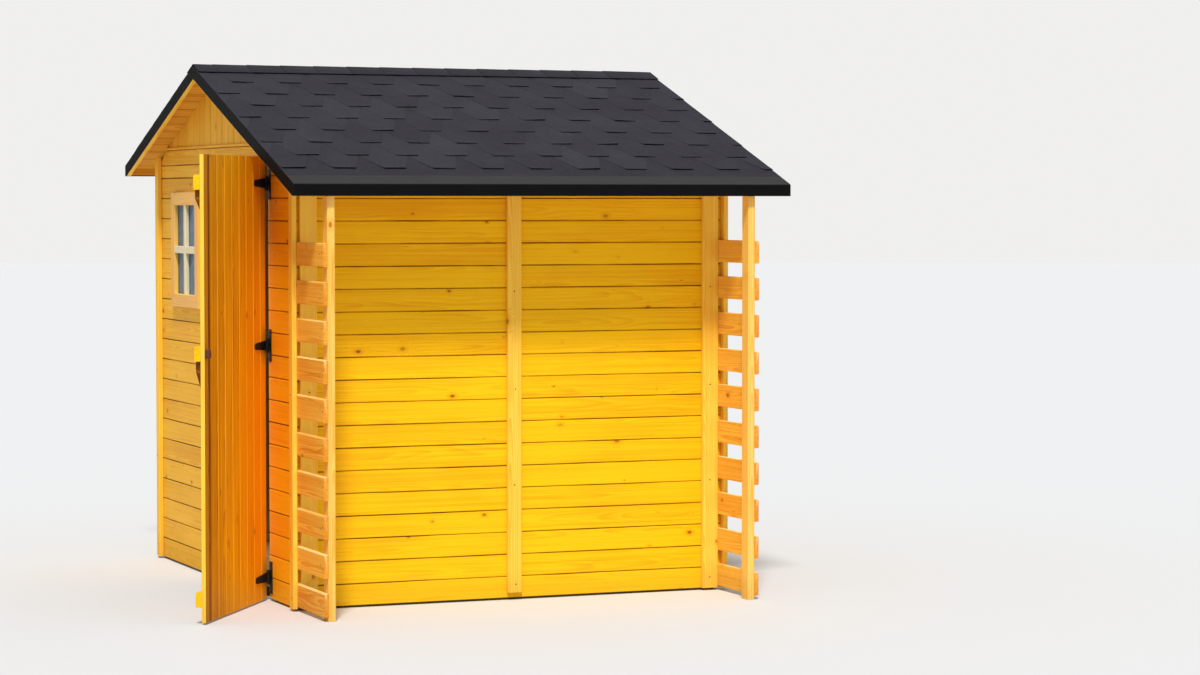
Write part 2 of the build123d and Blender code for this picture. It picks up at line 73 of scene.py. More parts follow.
def feed(tree, socket, value):
    """Link a value to a socket, or set it there where it is a constant."""
    if isinstance(value, bpy.types.NodeSocket):
        tree.links.new(value, socket)
    else:
        socket.default_value = value


def wire(tree, kind, sockets=None, **settings):
    """Add a node, and set or link its inputs."""
    made = tree.nodes.new(kind)
    for name, value in settings.items():
        setattr(made, name, value)
    for name, value in (sockets or {}).items():
        feed(tree, made.inputs[name], value)
    return made


def sums(tree, operation, first, second=0.0, third=0.0, clamp=False):
    """Arithmetic on up to three values."""
    terms = {0: first, 1: second, 2: third}
    return wire(tree, "ShaderNodeMath", terms, operation=operation, use_clamp=clamp).outputs[0]


ROOM_LIGHT, BACKDROP = 0.52, 0.87
world = bpy.data.worlds.new("studio")
world.use_nodes = True
scene.world = world
room = world.node_tree
room.nodes.clear()
seen = room.nodes.new("ShaderNodeLightPath").outputs
direct = sums(room, "MAXIMUM", seen["Is Camera Ray"], seen["Is Glossy Ray"])
direct = sums(room, "MAXIMUM", direct, seen["Is Transmission Ray"])
level = sums(room, "MULTIPLY_ADD", direct, BACKDROP - ROOM_LIGHT, ROOM_LIGHT)
glow = wire(room, "ShaderNodeBackground", {"Color": (1, 0.995, 0.985, 1), "Strength": level})
wire(room, "ShaderNodeOutputWorld", {"Surface": glow.outputs[0]})


def new_finish(name):
    """A material, the tree of its nodes and the shader that they feed."""
    finish = bpy.data.materials.new(name)
    finish.use_nodes = True
    return finish, finish.node_tree, finish.node_tree.nodes["Principled BSDF"]


floor_finish, _, floor_shader = new_finish("studio_floor")
floor_shader.inputs["Base Color"].default_value = (0.660, 0.682, 0.713, 1)
floor_shader.inputs["Roughness"].default_value = 0.95
floor_mesh = bpy.data.meshes.new("studio_floor")
disc = bmesh.new()
bmesh.ops.create_circle(disc, cap_ends=True, radius=70, segments=64)
disc.to_mesh(floor_mesh)
disc.free()
floor_mesh.materials.append(floor_finish)
put("studio_floor", floor_mesh)


# Five square bearers of treated softwood carry the floor. They are sawn, greenish grey and
# damp-stained, with their long edges eased.
chance = random.Random(11)
SHED = "shed"


def srgb(red, green, blue):
    """A colour written as it looks on a screen, 0 to 255."""
    shares = [value / 255 for value in (red, green, blue)]
    return tuple(s / 12.92 if s < 0.0405 else ((s + 0.055) / 1.055) ** 2.4 for s in shares) + (1,)


def lay(origin, along, across, depth):
    """Where a board lies: its length, its width and its thickness from its face inwards."""
    axes = [Vector(axis).normalized() for axis in (along, across, depth)]
    where = Matrix(axes).transposed().to_4x4()
    where.translation = Vector(origin)
    return where


def eased(corners, ease):
    """The section of a timber whose arrises are planed off by this much."""
    section = []
    for at, corner in enumerate(corners):
        here = Vector(corner)
        for other in (Vector(corners[at - 1]), Vector(corners[(at + 1) % len(corners)])):
            reach = min(ease, (other - here).length * 0.4)
            section.append((*(here + (other - here).normalized() * reach), 0.0))
    return section


def square(width, thickness, ease=0.0025):
    return eased(((0, 0), (width, 0), (width, thickness), (0, thickness)), ease)


def start_work():
    """An empty piece whose points carry the grain, the board's tone and how deep in a joint they lie."""
    work = bmesh.new()
    work.verts.layers.float_vector.new("grain")
    work.verts.layers.float.new("tone")
    work.verts.layers.float.new("groove")
    return work


def trim_section(section, where, point, normal):
    """Cut a section along a plane that runs with the board, and keep what is behind the plane."""
    kept = []
    heights = [normal.dot(where @ Vector((0, a, d)) - point) for a, d, _ in section]
    for at, (corner, height) in enumerate(zip(section, heights)):
        before, before_height = section[at - 1], heights[at - 1]
        if (height > 0) != (before_height > 0):
            share = before_height / (before_height - height)
            kept.append(tuple(b + (c - b) * share for b, c in zip(before, corner)))
        if height <= 0:
            kept.append(corner)
    return kept


SHORTEST = 0.0001
SAWN_ARRIS = 0.0007


def sawn_ends(section, where, start, end, cuts):
    """Where each long edge of a board starts and ends between the planes that saw it off."""
    starts, ends = [], []
    for across, depth, _ in section:
        foot = where @ Vector((0, across, depth))
        low, high = start, end
        for point, normal in cuts:
            reach = normal.dot(where.col[0].xyz)
            there = normal.dot(point - foot) / reach
            if reach > 0:
                high = min(high, there)
            else:
                low = max(low, there)
        if low > high - SHORTEST:
            middle = (low + high) / 2
            low, high = middle - SHORTEST / 2, middle + SHORTEST / 2
        starts.append(low)
        ends.append(high)
    return starts, ends


def skin(work, loops):
    """Join loops of points, each to the next, into a closed solid."""
    work.faces.new(loops[0])
    work.faces.new(loops[-1][::-1])
    for near, far in zip(loops, loops[1:]):
        for at in range(len(near)):
            work.faces.new((near[at - 1], near[at], far[at], far[at - 1]))


def mill(work, where, section, start, end, cuts=(), tone=None, soak=2.4):
    """Run a section along a board from start to end, sawn off behind each plane in cuts.

    Each board is cut from its own place in the log. Its sawn ends have eased arrises, and their
    open grain soaks up more stain.
    """
    end_cuts = []
    for point, normal in cuts:
        point, normal = Vector(point), Vector(normal)
        if abs(normal.dot(where.col[0].xyz)) < 1e-6:
            section = trim_section(section, where, point, normal)
        else:
            end_cuts.append((point, normal))
    if len(section) < 3:
        return
    starts, ends = sawn_ends(section, where, start, end, end_cuts)
    layers = work.verts.layers
    grain, shade, groove = layers.float_vector["grain"], layers.float["tone"], layers.float["groove"]
    slip = chance.uniform(-40, 40)
    width = max(a for a, _, _ in section)
    pith = (chance.uniform(-0.1, 1.1) * width, chance.uniform(0.018, 0.085))
    tone = chance.gauss(0, 0.5) if tone is None else tone
    tone = max(-1.0, min(1.0, tone))
    heart = sum((Vector((a, d)) for a, d, _ in section), Vector((0, 0))) / len(section)

    def loop_of(ring, back, inset, stain):
        loop = []
        for (across, depth, dark), along in zip(section, ring):
            to_heart = heart - Vector((across, depth))
            across, depth = Vector((across, depth)) + to_heart * min(0.4, inset / to_heart.length)
            made = work.verts.new(where @ Vector((along + back, across, depth)))
            made[grain] = (along + slip, across - pith[0], depth + pith[1])
            made[shade] = stain
            made[groove] = dark
            loop.append(made)
        return loop

    arris = min(SAWN_ARRIS, min(high - low for low, high in zip(starts, ends)) / 3)
    loops = (
        loop_of(starts, 0, arris, tone + soak),
        loop_of(starts, arris, 0, tone),
        loop_of(ends, -arris, 0, tone),
        loop_of(ends, 0, arris, tone + soak),
    )
    skin(work, loops)


def timber(work, low, high, along, ease=0.0025):
    """A straight eased timber between two corners, its grain along axis 0, 1 or 2."""
    sides = [axis for axis in range(3) if axis != along]
    axes = [Vector([float(axis == at) for at in range(3)]) for axis in (along, *sides)]
    origin = Vector(low)
    origin[along] = 0
    section = square(high[sides[0]] - low[sides[0]], high[sides[1]] - low[sides[1]], ease)
    mill(work, lay(origin, *axes), section, low[along], high[along])


def assemble(work, name, finish, body, *nodes):
    """Make the work a piece that moves with its body and stands for its plain solids."""
    bmesh.ops.recalc_face_normals(work, faces=work.faces)
    mesh = bpy.data.meshes.new(name)
    work.to_mesh(mesh)
    work.free()
    mesh.materials.append(finish)
    piece = put(name, mesh)
    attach(piece, body)
    if nodes:
        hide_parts(*nodes)
    return piece


def group(name, *inputs):
    """A shader group and what its named inputs bring."""
    tree = bpy.data.node_groups.new(name, "ShaderNodeTree")
    for label, kind, value in inputs:
        socket = tree.interface.new_socket(label, in_out="INPUT", socket_type="NodeSocket" + kind)
        if value is not None:
            socket.default_value = value
    return tree, tree.nodes.new("NodeGroupInput").outputs


def give(tree, masks):
    """Put the named masks out of a shader group."""
    for label in masks:
        tree.interface.new_socket(label, in_out="OUTPUT", socket_type="NodeSocketFloat")
    wire(tree, "NodeGroupOutput", masks)


def ramp(tree, value, low, high, to_low=0.0, to_high=1.0, kind="SMOOTHSTEP"):
    """Carry the range from low to high over to another one, and hold it past its ends."""
    sockets = {"Value": value, "From Min": low, "From Max": high, "To Min": to_low, "To Max": to_high}
    return wire(tree, "ShaderNodeMapRange", sockets, interpolation_type=kind).outputs[0]


def stretch(tree, where, factors):
    """Scale a place by its own factor each way."""
    sockets = {0: where, 1: factors}
    return wire(tree, "ShaderNodeVectorMath", sockets, operation="MULTIPLY").outputs[0]


def noise(tree, where, scale, detail=2.0, rough=0.5):
    """Clouds with so many lumps a metre, alike all ways or with a number for each way."""
    if isinstance(scale, tuple):
        where, scale = stretch(tree, where, scale), 1.0
    sockets = {"Vector": where, "Scale": scale, "Detail": detail, "Roughness": rough}
    return wire(tree, "ShaderNodeTexNoise", sockets).outputs[0]


# Grain of a sawn softwood board: growth rings about a pith behind the face, which bow round the
# knots, fine fibres along the board, and slow changes of colour.
KNOT_CELLS = 7.5
pine_grain, told = group(
    "pine_grain", ("Grain", "Vector", None), ("Ring Width", "Float", 0.0034), ("Knots", "Float", 0.5)
)
tree, place = pine_grain, told["Grain"]
split = wire(tree, "ShaderNodeSeparateXYZ", {0: place}).outputs
from_pith = sums(tree, "MULTIPLY", split[2], split[2])
from_pith = sums(tree, "SQRT", sums(tree, "MULTIPLY_ADD", split[1], split[1], from_pith))
cells = {"Vector": stretch(tree, place, (0.62, 1.0, 0.0)), "Scale": KNOT_CELLS}
cells = wire(tree, "ShaderNodeTexVoronoi", cells, voronoi_dimensions="2D").outputs
lot = wire(tree, "ShaderNodeSeparateColor", {0: cells["Color"]}).outputs
has_knot = sums(tree, "LESS_THAN", lot[0], told["Knots"])
knot_size = ramp(tree, lot[1], 0.1, 1.0, 0.0026, 0.0092, "LINEAR")
knot_depth = sums(tree, "MULTIPLY", ramp(tree, lot[2], 0.0, 0.9, 0.15, 1.0), has_knot)
knot_far = sums(tree, "DIVIDE", sums(tree, "DIVIDE", cells["Distance"], KNOT_CELLS), knot_size)
bow = sums(tree, "MULTIPLY", ramp(tree, knot_far, 0.6, 4.2, 1.0, 0.0), has_knot)
bow = sums(tree, "MULTIPLY", bow, sums(tree, "MULTIPLY", knot_size, 1.6))
wander = sums(tree, "MULTIPLY_ADD", noise(tree, place, (1.1, 9.0, 9.0)), 0.034, -0.017)
ring_way = sums(tree, "ADD", sums(tree, "ADD", from_pith, wander), bow)
ring_way = sums(tree, "MULTIPLY_ADD", split[0], 0.004, ring_way)
year = sums(tree, "FRACT", sums(tree, "DIVIDE", ring_way, told["Ring Width"]))
late = sums(tree, "MULTIPLY", ramp(tree, year, 0.25, 0.9), ramp(tree, year, 0.93, 1.0, 1.0, 0.0))
fibre = noise(tree, place, (7.0, 520.0, 520.0), 3.0, 0.6)
knot = sums(tree, "MULTIPLY", ramp(tree, knot_far, 0.5, 1.1, 1.0, 0.0), knot_depth)
rim = sums(tree, "MULTIPLY", ramp(tree, knot_far, 0.6, 1.0), ramp(tree, knot_far, 1.0, 2.6, 1.0, 0.0))
masks = {
    "Late Wood": late,
    "Fibre": fibre,
    "Knot": knot,
    "Knot Rim": sums(tree, "MULTIPLY", rim, knot_depth),
    "Blotch": noise(tree, place, (2.6, 7.0, 7.0), 3.0),
    "Streak": noise(tree, place, (1.2, 100.0, 100.0)),
    "Height": sums(tree, "MULTIPLY_ADD", late, 0.6, sums(tree, "MULTIPLY", fibre, 0.5)),
}
give(tree, masks)

# Splashing rain soils the lowest hand's breadth of the timber, most where it is blotched.
rain_splash, told = group("rain_splash", ("Place", "Vector", None), ("Reach", "Float", 0.16))
tree = rain_splash
up = wire(tree, "ShaderNodeSeparateXYZ", {0: told["Place"]}).outputs[2]
edge = sums(tree, "MULTIPLY_ADD", noise(tree, told["Place"], 34.0, 4.0, 0.65), 0.55, -0.2)
edge = sums(tree, "SUBTRACT", sums(tree, "DIVIDE", up, told["Reach"]), edge)
give(tree, {"Dirt": ramp(tree, edge, -0.1, 0.9, 1.0, 0.0)})


def mix(tree, share, first, second):
    """Go from the first colour to the second by a share."""
    sockets = {0: share, 6: first, 7: second}
    return wire(tree, "ShaderNodeMix", sockets, data_type="RGBA").outputs[2]


def marks(tree, *labels):
    """What the points of the mesh carry under these names."""
    kind, way = "ShaderNodeAttribute", "GEOMETRY"
    return [wire(tree, kind, attribute_type=way, attribute_name=label).outputs for label in labels]


def coat(tree, shader, colour, roughness, shine, height, strength, depth):
    """Give the shader its colour, roughness and shine, and bumps so deep from a height."""
    bumps = wire(tree, "ShaderNodeBump", {"Height": height, "Strength": strength, "Distance": depth})
    feed(tree, shader.inputs["Base Color"], colour)
    feed(tree, shader.inputs["Roughness"], roughness)
    shader.inputs["Specular IOR Level"].default_value = shine
    feed(tree, shader.inputs["Normal"], bumps.outputs[0])


def wood_finish(name, pale, deep, knot_colour, joint, roughness,
                knots=0.6, splash=0.2, rings=0.6, shine=0.3, stain=0.22):
    """A softwood finish: pale early wood, deep late wood, knots, joints and a soiled foot.

    stain tells how far a board's own tone takes it from pale to deep.
    """
    pale, deep, knot_colour, joint = (srgb(*colour) for colour in (pale, deep, knot_colour, joint))
    finish, tree, shader = new_finish(name)
    grain, tone, groove = marks(tree, "grain", "tone", "groove")
    sockets = {"Grain": grain["Vector"], "Knots": knots}
    seen = wire(tree, "ShaderNodeGroup", sockets, node_tree=pine_grain).outputs
    share = sums(tree, "MULTIPLY", seen["Late Wood"], rings)
    share = sums(tree, "MULTIPLY_ADD", seen["Fibre"], 0.55, sums(tree, "SUBTRACT", share, 1.12))
    share = sums(tree, "MULTIPLY_ADD", seen["Blotch"], 0.7, share)
    share = sums(tree, "MULTIPLY_ADD", seen["Streak"], 1.2, share)
    share = sums(tree, "MULTIPLY_ADD", tone["Fac"], stain, share, clamp=True)
    colour = mix(tree, share, pale, deep)
    colour = mix(tree, sums(tree, "MULTIPLY", seen["Knot Rim"], 0.6), colour, deep)
    colour = mix(tree, sums(tree, "MULTIPLY", seen["Knot"], 0.85), colour, knot_colour)
    # The joint colour covers the groove mark: dark joints on walls and deck; in the slat, casing and
    # door finishes it is pale and paints highlights.
    reach = sums(tree, "POWER", groove["Fac"], 1.6, clamp=True)
    reach = sums(tree, "MULTIPLY", reach, ramp(tree, seen["Blotch"], 0.4, 0.6, 0.3, 1.0))
    colour = mix(tree, reach, colour, joint)
    place = wire(tree, "ShaderNodeTexCoord").outputs["Object"]
    dirt = wire(tree, "ShaderNodeGroup", {"Place": place}, node_tree=rain_splash).outputs[0]
    colour = mix(tree, sums(tree, "MULTIPLY", dirt, splash), colour, srgb(96, 78, 50))
    gloss = sums(tree, "MULTIPLY_ADD", seen["Fibre"], 0.25, roughness - 0.12)
    gloss = sums(tree, "MULTIPLY_ADD", seen["Knot"], -0.08, gloss)
    gloss = sums(tree, "MULTIPLY_ADD", dirt, 0.3, gloss, clamp=True)
    coat(tree, shader, colour, gloss, shine, seen["Height"], 0.5, 0.0006)
    return finish


treated_pine = wood_finish(
    "treated_pine", (156, 140, 100), (112, 98, 64), (66, 50, 30), (50, 42, 30), 0.8, splash=0.9
)
BEARER, BEARERS = 0.045, 5
work = start_work()
low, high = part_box("floor_bearers")
for step in range(BEARERS):
    near = low[1] + (high[1] - low[1] - BEARER) * step / (BEARERS - 1)
    timber(work, (low[0], near, 0), (high[0], near + BEARER, BEARER), 0)
assemble(work, "bearers", treated_pine, SHED, "floor_bearers")


# Deck: planed softwood boards, tongued and grooved, laid from front to rear across the bearers.
# Bare wood, greyed and scuffed where it is walked on.
def matchboard(cover, thickness, chamfer=0.003, slot=0.0009, lip=0.006, plain=(), worn=(0.2, 1.0)):
    """Section of a tongued and grooved board with V joints. Side 0 or 1 named in plain is planed.

    worn tells how far the joint's colour reaches at the V's outer arris and at its foot.
    """
    back, brow = 0.001, 0.0004
    jointed = (
        (slot + chamfer + brow, 0, 0.0),
        (slot + chamfer, 0, worn[0]),
        (slot, chamfer, worn[1]),
        (slot, lip, 1.0),
        (0, lip, 1.0),
        (0, thickness - back, 0.4),
        (back, thickness, 0.0),
    )
    planed = ((back, 0, 0.0), (0, back, 0.0), (0, thickness - back, 0.0), (back, thickness, 0.0))
    low, high = (planed if side in plain else jointed for side in (0, 1))
    return [(cover - a, d, dark) for a, d, dark in high] + list(reversed(low))


worn_deck = wood_finish(
    "worn_deck", (206, 172, 122), (164, 122, 76), (104, 66, 36), (60, 42, 26), 0.72, splash=0.0
)
DECK_BOARDS = 16
work = start_work()
low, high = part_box("floor_boards")
cover = (high[0] - low[0]) / DECK_BOARDS
for step in range(DECK_BOARDS):
    where = lay((low[0] + cover * step, 0, high[2]), (0, 1, 0), (1, 0, 0), (0, 0, -1))
    mill(work, where, matchboard(cover, high[2] - low[2], 0.001, 0.0004), low[1], high[1])
assemble(work, "deck", worn_deck, SHED, "floor_boards")


# Wall frames: square planed softwood, bare inside. Sole plates lie on the deck, studs stand on
# them, rails close the window's gap, and plates lie on the studs of the front and rear walls.
bare_pine = wood_finish(
    "bare_pine", (226, 192, 138), (190, 146, 92), (120, 74, 40), (90, 62, 36), 0.66, splash=0.0
)
TIMBER, SOLE_PLAY = 0.045, 0.0015
FRAME_X, FRAME_Y = 0.902, 1.012
OPENING = (-0.679, 0.105, 1.798)         # the doorway's front side, rear side and head
WINDOW = (0.3685, 0.7015, 1.205, 1.595)  # the glass's front side, rear side, foot and head
work = start_work()
sole_foot, sole_top = (corner[2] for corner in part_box("sole_plates"))
for near in (-FRAME_Y, FRAME_Y - TIMBER):
    timber(work, (-FRAME_X, near, sole_foot), (FRAME_X, near + TIMBER, sole_top), 0)
for side, near, far in (
    (-FRAME_X, -FRAME_Y + TIMBER, OPENING[0]),
    (-FRAME_X, OPENING[1], FRAME_Y - TIMBER),
    (FRAME_X - TIMBER, -FRAME_Y + TIMBER, FRAME_Y - TIMBER),
):
    low = (side, near + SOLE_PLAY, sole_foot)
    timber(work, low, (side + TIMBER, far - SOLE_PLAY, sole_top), 1)
assemble(work, "soles", bare_pine, SHED, "sole_plates")


def stud(work, left, near, head):
    """An upright that stands on the sole plate."""
    timber(work, (left, near, sole_top), (left + TIMBER, near + TIMBER, head), 2)


STUDS = 5
for node, name, near in (
    ("front_wall_studs", "front_studs", -FRAME_Y),
    ("rear_wall_studs", "rear_studs", FRAME_Y - TIMBER),
):
    work = start_work()
    for step in range(STUDS):
        stud(work, -FRAME_X + (2 * FRAME_X - TIMBER) * step / (STUDS - 1), near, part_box(node)[1][2])
    assemble(work, name, bare_pine, SHED, node)
work = start_work()
for near in (OPENING[0] - TIMBER, OPENING[1], WINDOW[0] - TIMBER, WINDOW[1]):
    stud(work, -FRAME_X, near, OPENING[2])
assemble(work, "left_studs", bare_pine, SHED, "left_wall_studs")
work = start_work()
for step in range(1, STUDS):
    middle = -FRAME_Y + TIMBER + (2 * FRAME_Y - 2 * TIMBER) * step / STUDS
    stud(work, FRAME_X - TIMBER, middle - TIMBER / 2, OPENING[2])
assemble(work, "right_studs", bare_pine, SHED, "right_wall_studs")
work = start_work()
for foot in (WINDOW[2] - TIMBER, WINDOW[3]):
    timber(work, (-FRAME_X, WINDOW[0], foot), (TIMBER - FRAME_X, WINDOW[1], foot + TIMBER), 1)
assemble(work, "window_trimmers", bare_pine, SHED, "window_rails")
work = start_work()
low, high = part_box("wall_plates")
timber(work, (-FRAME_X, -FRAME_Y, low[2]), (FRAME_X, TIMBER - FRAME_Y, low[2] + TIMBER), 0)
timber(work, (-FRAME_X, FRAME_Y - TIMBER, high[2] - TIMBER), (FRAME_X, FRAME_Y, high[2]), 0)
assemble(work, "plates", bare_pine, SHED, "wall_plates")


# Roof frame: a ridge beam, three rafters a slope and a tie across each gable, of the same
# timber. The front rafters run on over the store to the beam on its posts.
PITCH = math.radians(19.23)
RIDGE_Y, RIDGE_Z, RIDGE_BEAM = -0.008, 2.183638, 0.070
DECK_UNDER, RAFTER_UNDER = 0.024, 0.069
ROUGH = 3.0  # a rough length, past the planes that saw it off


def roof_z(y, below=0.0):
    """Height at y of the plane this far below the tops of the shingles, square to the slope."""
    return RIDGE_Z - abs(y - RIDGE_Y) * math.tan(PITCH) - below / math.cos(PITCH)


def slope_ways(side):
    """The ways down the front slope, side -1, or the rear one, 1, and square out of it."""
    down = Vector((0, side * math.cos(PITCH), -math.sin(PITCH)))
    return down, Vector((0, side * math.sin(PITCH), math.cos(PITCH)))


def under_slope(side, below):
    """The plane that keeps what is this far under a slope."""
    return (0, RIDGE_Y, roof_z(RIDGE_Y, below)), slope_ways(side)[1]


def between(side, ridge_y, eave_y):
    """The two upright planes that saw a slope's timbers off at the ridge and at the eave."""
    return ((0, ridge_y, 0), (0, -side, 0)), ((0, eave_y, 0), (0, side, 0))


work = start_work()
ridge_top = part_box("ridge_beam")[1][2]
low = (-FRAME_X, RIDGE_Y - TIMBER / 2, ridge_top - RIDGE_BEAM)
timber(work, low, (FRAME_X, RIDGE_Y + TIMBER / 2, ridge_top), 0)
assemble(work, "ridge_timber", bare_pine, SHED, "ridge_beam")
for side, node, name in (
    (-1, "front_rafters", "front_rafter_set"),
    (1, "rear_rafters", "rear_rafter_set"),
):
    work = start_work()
    low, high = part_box(node)
    cuts = between(side, RIDGE_Y + side * TIMBER / 2, low[1] if side < 0 else high[1])
    down, outward = slope_ways(side)
    for left in (-FRAME_X, -TIMBER / 2, FRAME_X - TIMBER):
        where = lay((left, RIDGE_Y, roof_z(RIDGE_Y, DECK_UNDER)), down, (1, 0, 0), -outward)
        mill(work, where, square(TIMBER, TIMBER), -ROUGH, ROUGH, cuts)
    assemble(work, name, bare_pine, SHED, node)
work = start_work()
for left in (-FRAME_X, FRAME_X - TIMBER):
    where = lay((left, 0, OPENING[2]), (0, 1, 0), (1, 0, 0), (0, 0, 1))
    cuts = (under_slope(-1, RAFTER_UNDER), under_slope(1, RAFTER_UNDER))
    mill(work, where, square(TIMBER, TIMBER), -ROUGH, ROUGH, cuts)
assemble(work, "ties", bare_pine, SHED, "tie_beams")


# Cladding of the walls: pine boards, 90 mm to the weather and 18 mm thick, tongued and grooved
# with V joints, laid level and nailed to the studs. The stain is golden and lets the grain show.
golden_front = wood_finish(
    "golden_front", (254, 200, 14), (230, 152, 4), (132, 68, 2), (92, 50, 2), 0.58,
    knots=0.5, rings=0.3, shine=0.12,
)
# The gables take a duller copy of the front walls' golden stain, which paints the shade of light that
# grazes them. The front part of the left wall takes a more orange copy, which paints warm light bounced
# onto it from the open door.
grazing_shade_gable = wood_finish(
    "grazing_shade_gable", (243, 184, 54), (214, 138, 26), (128, 66, 10), (88, 50, 10), 0.6,
    knots=0.5, rings=0.35, shine=0.12,
)
door_bounce_gable = wood_finish(
    "door_bounce_gable", (255, 190, 20), (246, 148, 6), (150, 68, 4), (104, 44, 2), 0.6,
    knots=0.5, rings=0.35, shine=0.12,
)
COVER, CLAD, UNEVEN = 0.090, 0.018, 0.0007
GABLE_X, WALL_Y = 0.920, 1.030
CLAD_FOOT, FIRST_JOINT, LAST_JOINT, SEAM = 0.010, 0.095, 1.7715, 1.840
joints = [CLAD_FOOT, *(FIRST_JOINT + COVER * row for row in range(19)), LAST_JOINT, SEAM]
under_deck = (under_slope(-1, DECK_UNDER), under_slope(1, DECK_UNDER))


def clad(work, wall, start, end, low=CLAD_FOOT, high=SEAM):
    """Lay level boards between two heights, the joints in line all round the shed.

    wall is a point of its face, the way along it and the way in.
    """
    face, along, inward = (Vector(item) for item in wall)
    for foot, head in zip(joints, joints[1:]):
        if head <= low + SHORTEST or foot >= high - SHORTEST:
            continue
        origin = face + inward * chance.uniform(0, UNEVEN)
        where = lay((origin.x, origin.y, foot), along, (0, 0, 1), inward)
        ends = (((0, 0, low), (0, 0, -1)), ((0, 0, high), (0, 0, 1)))
        section = matchboard(head - foot, CLAD, plain=(0,) if foot == CLAD_FOOT else ())
        mill(work, where, section, start, end, (*under_deck, *ends))


for side, node, name in (
    (-1, "front_wall_boards", "front_cladding"),
    (1, "rear_wall_boards", "rear_cladding"),
):
    work = start_work()
    for start, end in ((-GABLE_X, 0), (0, GABLE_X)):
        clad(work, ((0, side * WALL_Y, 0), (1, 0, 0), (0, -side, 0)), start, end)
    assemble(work, name, golden_front, SHED, node)
work = start_work()
clad(work, ((GABLE_X, 0, 0), (0, 1, 0), (-1, 0, 0)), -FRAME_Y, FRAME_Y)
assemble(work, "right_cladding", grazing_shade_gable, SHED, "right_wall_boards")

REBATE = 0.010
hole = (WINDOW[0] - REBATE, WINDOW[1] + REBATE, WINDOW[2] - REBATE, WINDOW[3] + REBATE)
front_part = ((-FRAME_Y, OPENING[0], CLAD_FOOT, SEAM),)
head_part = ((OPENING[0], OPENING[1], OPENING[2], SEAM),)
rear_part = (
    (OPENING[1], FRAME_Y, CLAD_FOOT, hole[2]),
    (OPENING[1], hole[0], hole[2], hole[3]),
    (hole[1], FRAME_Y, hole[2], hole[3]),
    (OPENING[1], FRAME_Y, hole[3], SEAM),
)
for node, name, finish, patches in (
    ("left_wall_boards_front", "left_cladding_front", door_bounce_gable, front_part),
    ("left_wall_boards_head", "left_cladding_head", grazing_shade_gable, head_part),
    ("left_wall_boards_rear", "left_cladding_rear", grazing_shade_gable, rear_part),
):
    work = start_work()
    for patch in patches:
        clad(work, ((-GABLE_X, 0, 0), (0, 1, 0), (1, 0, 0)), *patch)
    assemble(work, name, finish, SHED, node)


# The gables' heads: the same boards set upright under the rafters, with a thin drip rail nailed
# over their feet to throw the rain clear of the seam.
RAIL, RAIL_PROUD = 0.012, 0.008
work = start_work()
half_span = (roof_z(RIDGE_Y, DECK_UNDER) - SEAM) / math.tan(PITCH)
for face, inward in ((-GABLE_X, 1), (GABLE_X, -1)):
    for side in (-1, 1):
        cuts = (under_slope(side, DECK_UNDER), ((0, RIDGE_Y + side * half_span, 0), (0, side, 0)))
        for step in range(math.ceil(half_span / COVER)):
            near = RIDGE_Y + side * COVER * step
            where = lay((face, near, 0), (0, 0, 1), (0, side, 0), (inward, 0, 0))
            mill(work, where, matchboard(COVER, CLAD), SEAM, ROUGH, cuts)
assemble(work, "gable_cladding", grazing_shade_gable, SHED, "gable_boards")
work = start_work()
for face, inward in ((-GABLE_X - RAIL_PROUD, 1), (GABLE_X + RAIL_PROUD, -1)):
    where = lay((face, 0, SEAM), (0, 1, 0), (0, 0, 1), (inward, 0, 0))
    mill(work, where, square(RAIL, RAIL_PROUD, 0.003), -ROUGH, ROUGH, under_deck)
assemble(work, "drip_rail_pair", grazing_shade_gable, SHED, "drip_rails")


# Planed trims cover the ends of the cladding: four on the gables' corners, and three battens on
# the front and three on the rear wall, each held by a row of small nails.
golden_trim = wood_finish(
    "golden_trim", (255, 211, 78), (242, 172, 38), (176, 104, 22), (96, 52, 8), 0.56,
    knots=0.35, shine=0.16,
)
TRIM = 0.020
CORNERS = ((-1, -1.065, -1.017), (1, 0.982, 1.030))
BATTENS = ((-0.902, -0.832, 0.010), (-0.030, 0.030, 0.031), (0.832, 0.902, 0.010))
work = start_work()
for outer, inward in ((-GABLE_X - TRIM, 1), (GABLE_X + TRIM, -1)):
    for side, near, far in CORNERS:
        where = lay((outer, near, 0), (0, 0, 1), (0, 1, 0), (inward, 0, 0))
        cuts = (under_slope(side, DECK_UNDER),)
        mill(work, where, square(far - near, TRIM), CLAD_FOOT, ROUGH, cuts)
assemble(work, "corner_trim_set", golden_trim, SHED, "corner_trims")
work = start_work()
for side in (-1, 1):
    for left, right, foot in BATTENS:
        face = side * (WALL_Y + TRIM)
        where = lay((left, face, 0), (0, 0, 1), (1, 0, 0), (0, -side, 0))
        mill(work, where, square(right - left, TRIM), foot, roof_z(face, RAFTER_UNDER))
assemble(work, "batten_set", golden_trim, SHED, "wall_battens")


# Open store: two posts carry a beam under the front eave, and ten spaced slats a side run from
# each post back to the wall. The slats' upper arrises are painted pale as highlights.
post_stain = wood_finish(
    "post_stain", (253, 207, 106), (240, 168, 56), (170, 104, 26), (96, 52, 8), 0.56,
    knots=0.4, shine=0.16,
)
stained_slat = wood_finish(
    "stained_slat", (252, 194, 76), (220, 132, 24), (146, 70, 12), (255, 220, 146), 0.56,
    rings=0.5, shine=0.16,
)
STORE_Y, POST, POST_FACE = -1.405, 0.062, 0.030
work = start_work()
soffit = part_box("store_beam")[0][2]
front_head, rear_head = (roof_z(STORE_Y + y, DECK_UNDER) - soffit for y in (0, POST))
beam = eased(((0, 0), (POST, 0), (POST, rear_head), (0, front_head)), 0.0025)
mill(work, lay((0, STORE_Y, soffit), (1, 0, 0), (0, 1, 0), (0, 0, 1)), beam, -FRAME_X, FRAME_X)
assemble(work, "eave_beam", post_stain, SHED, "store_beam")
work = start_work()
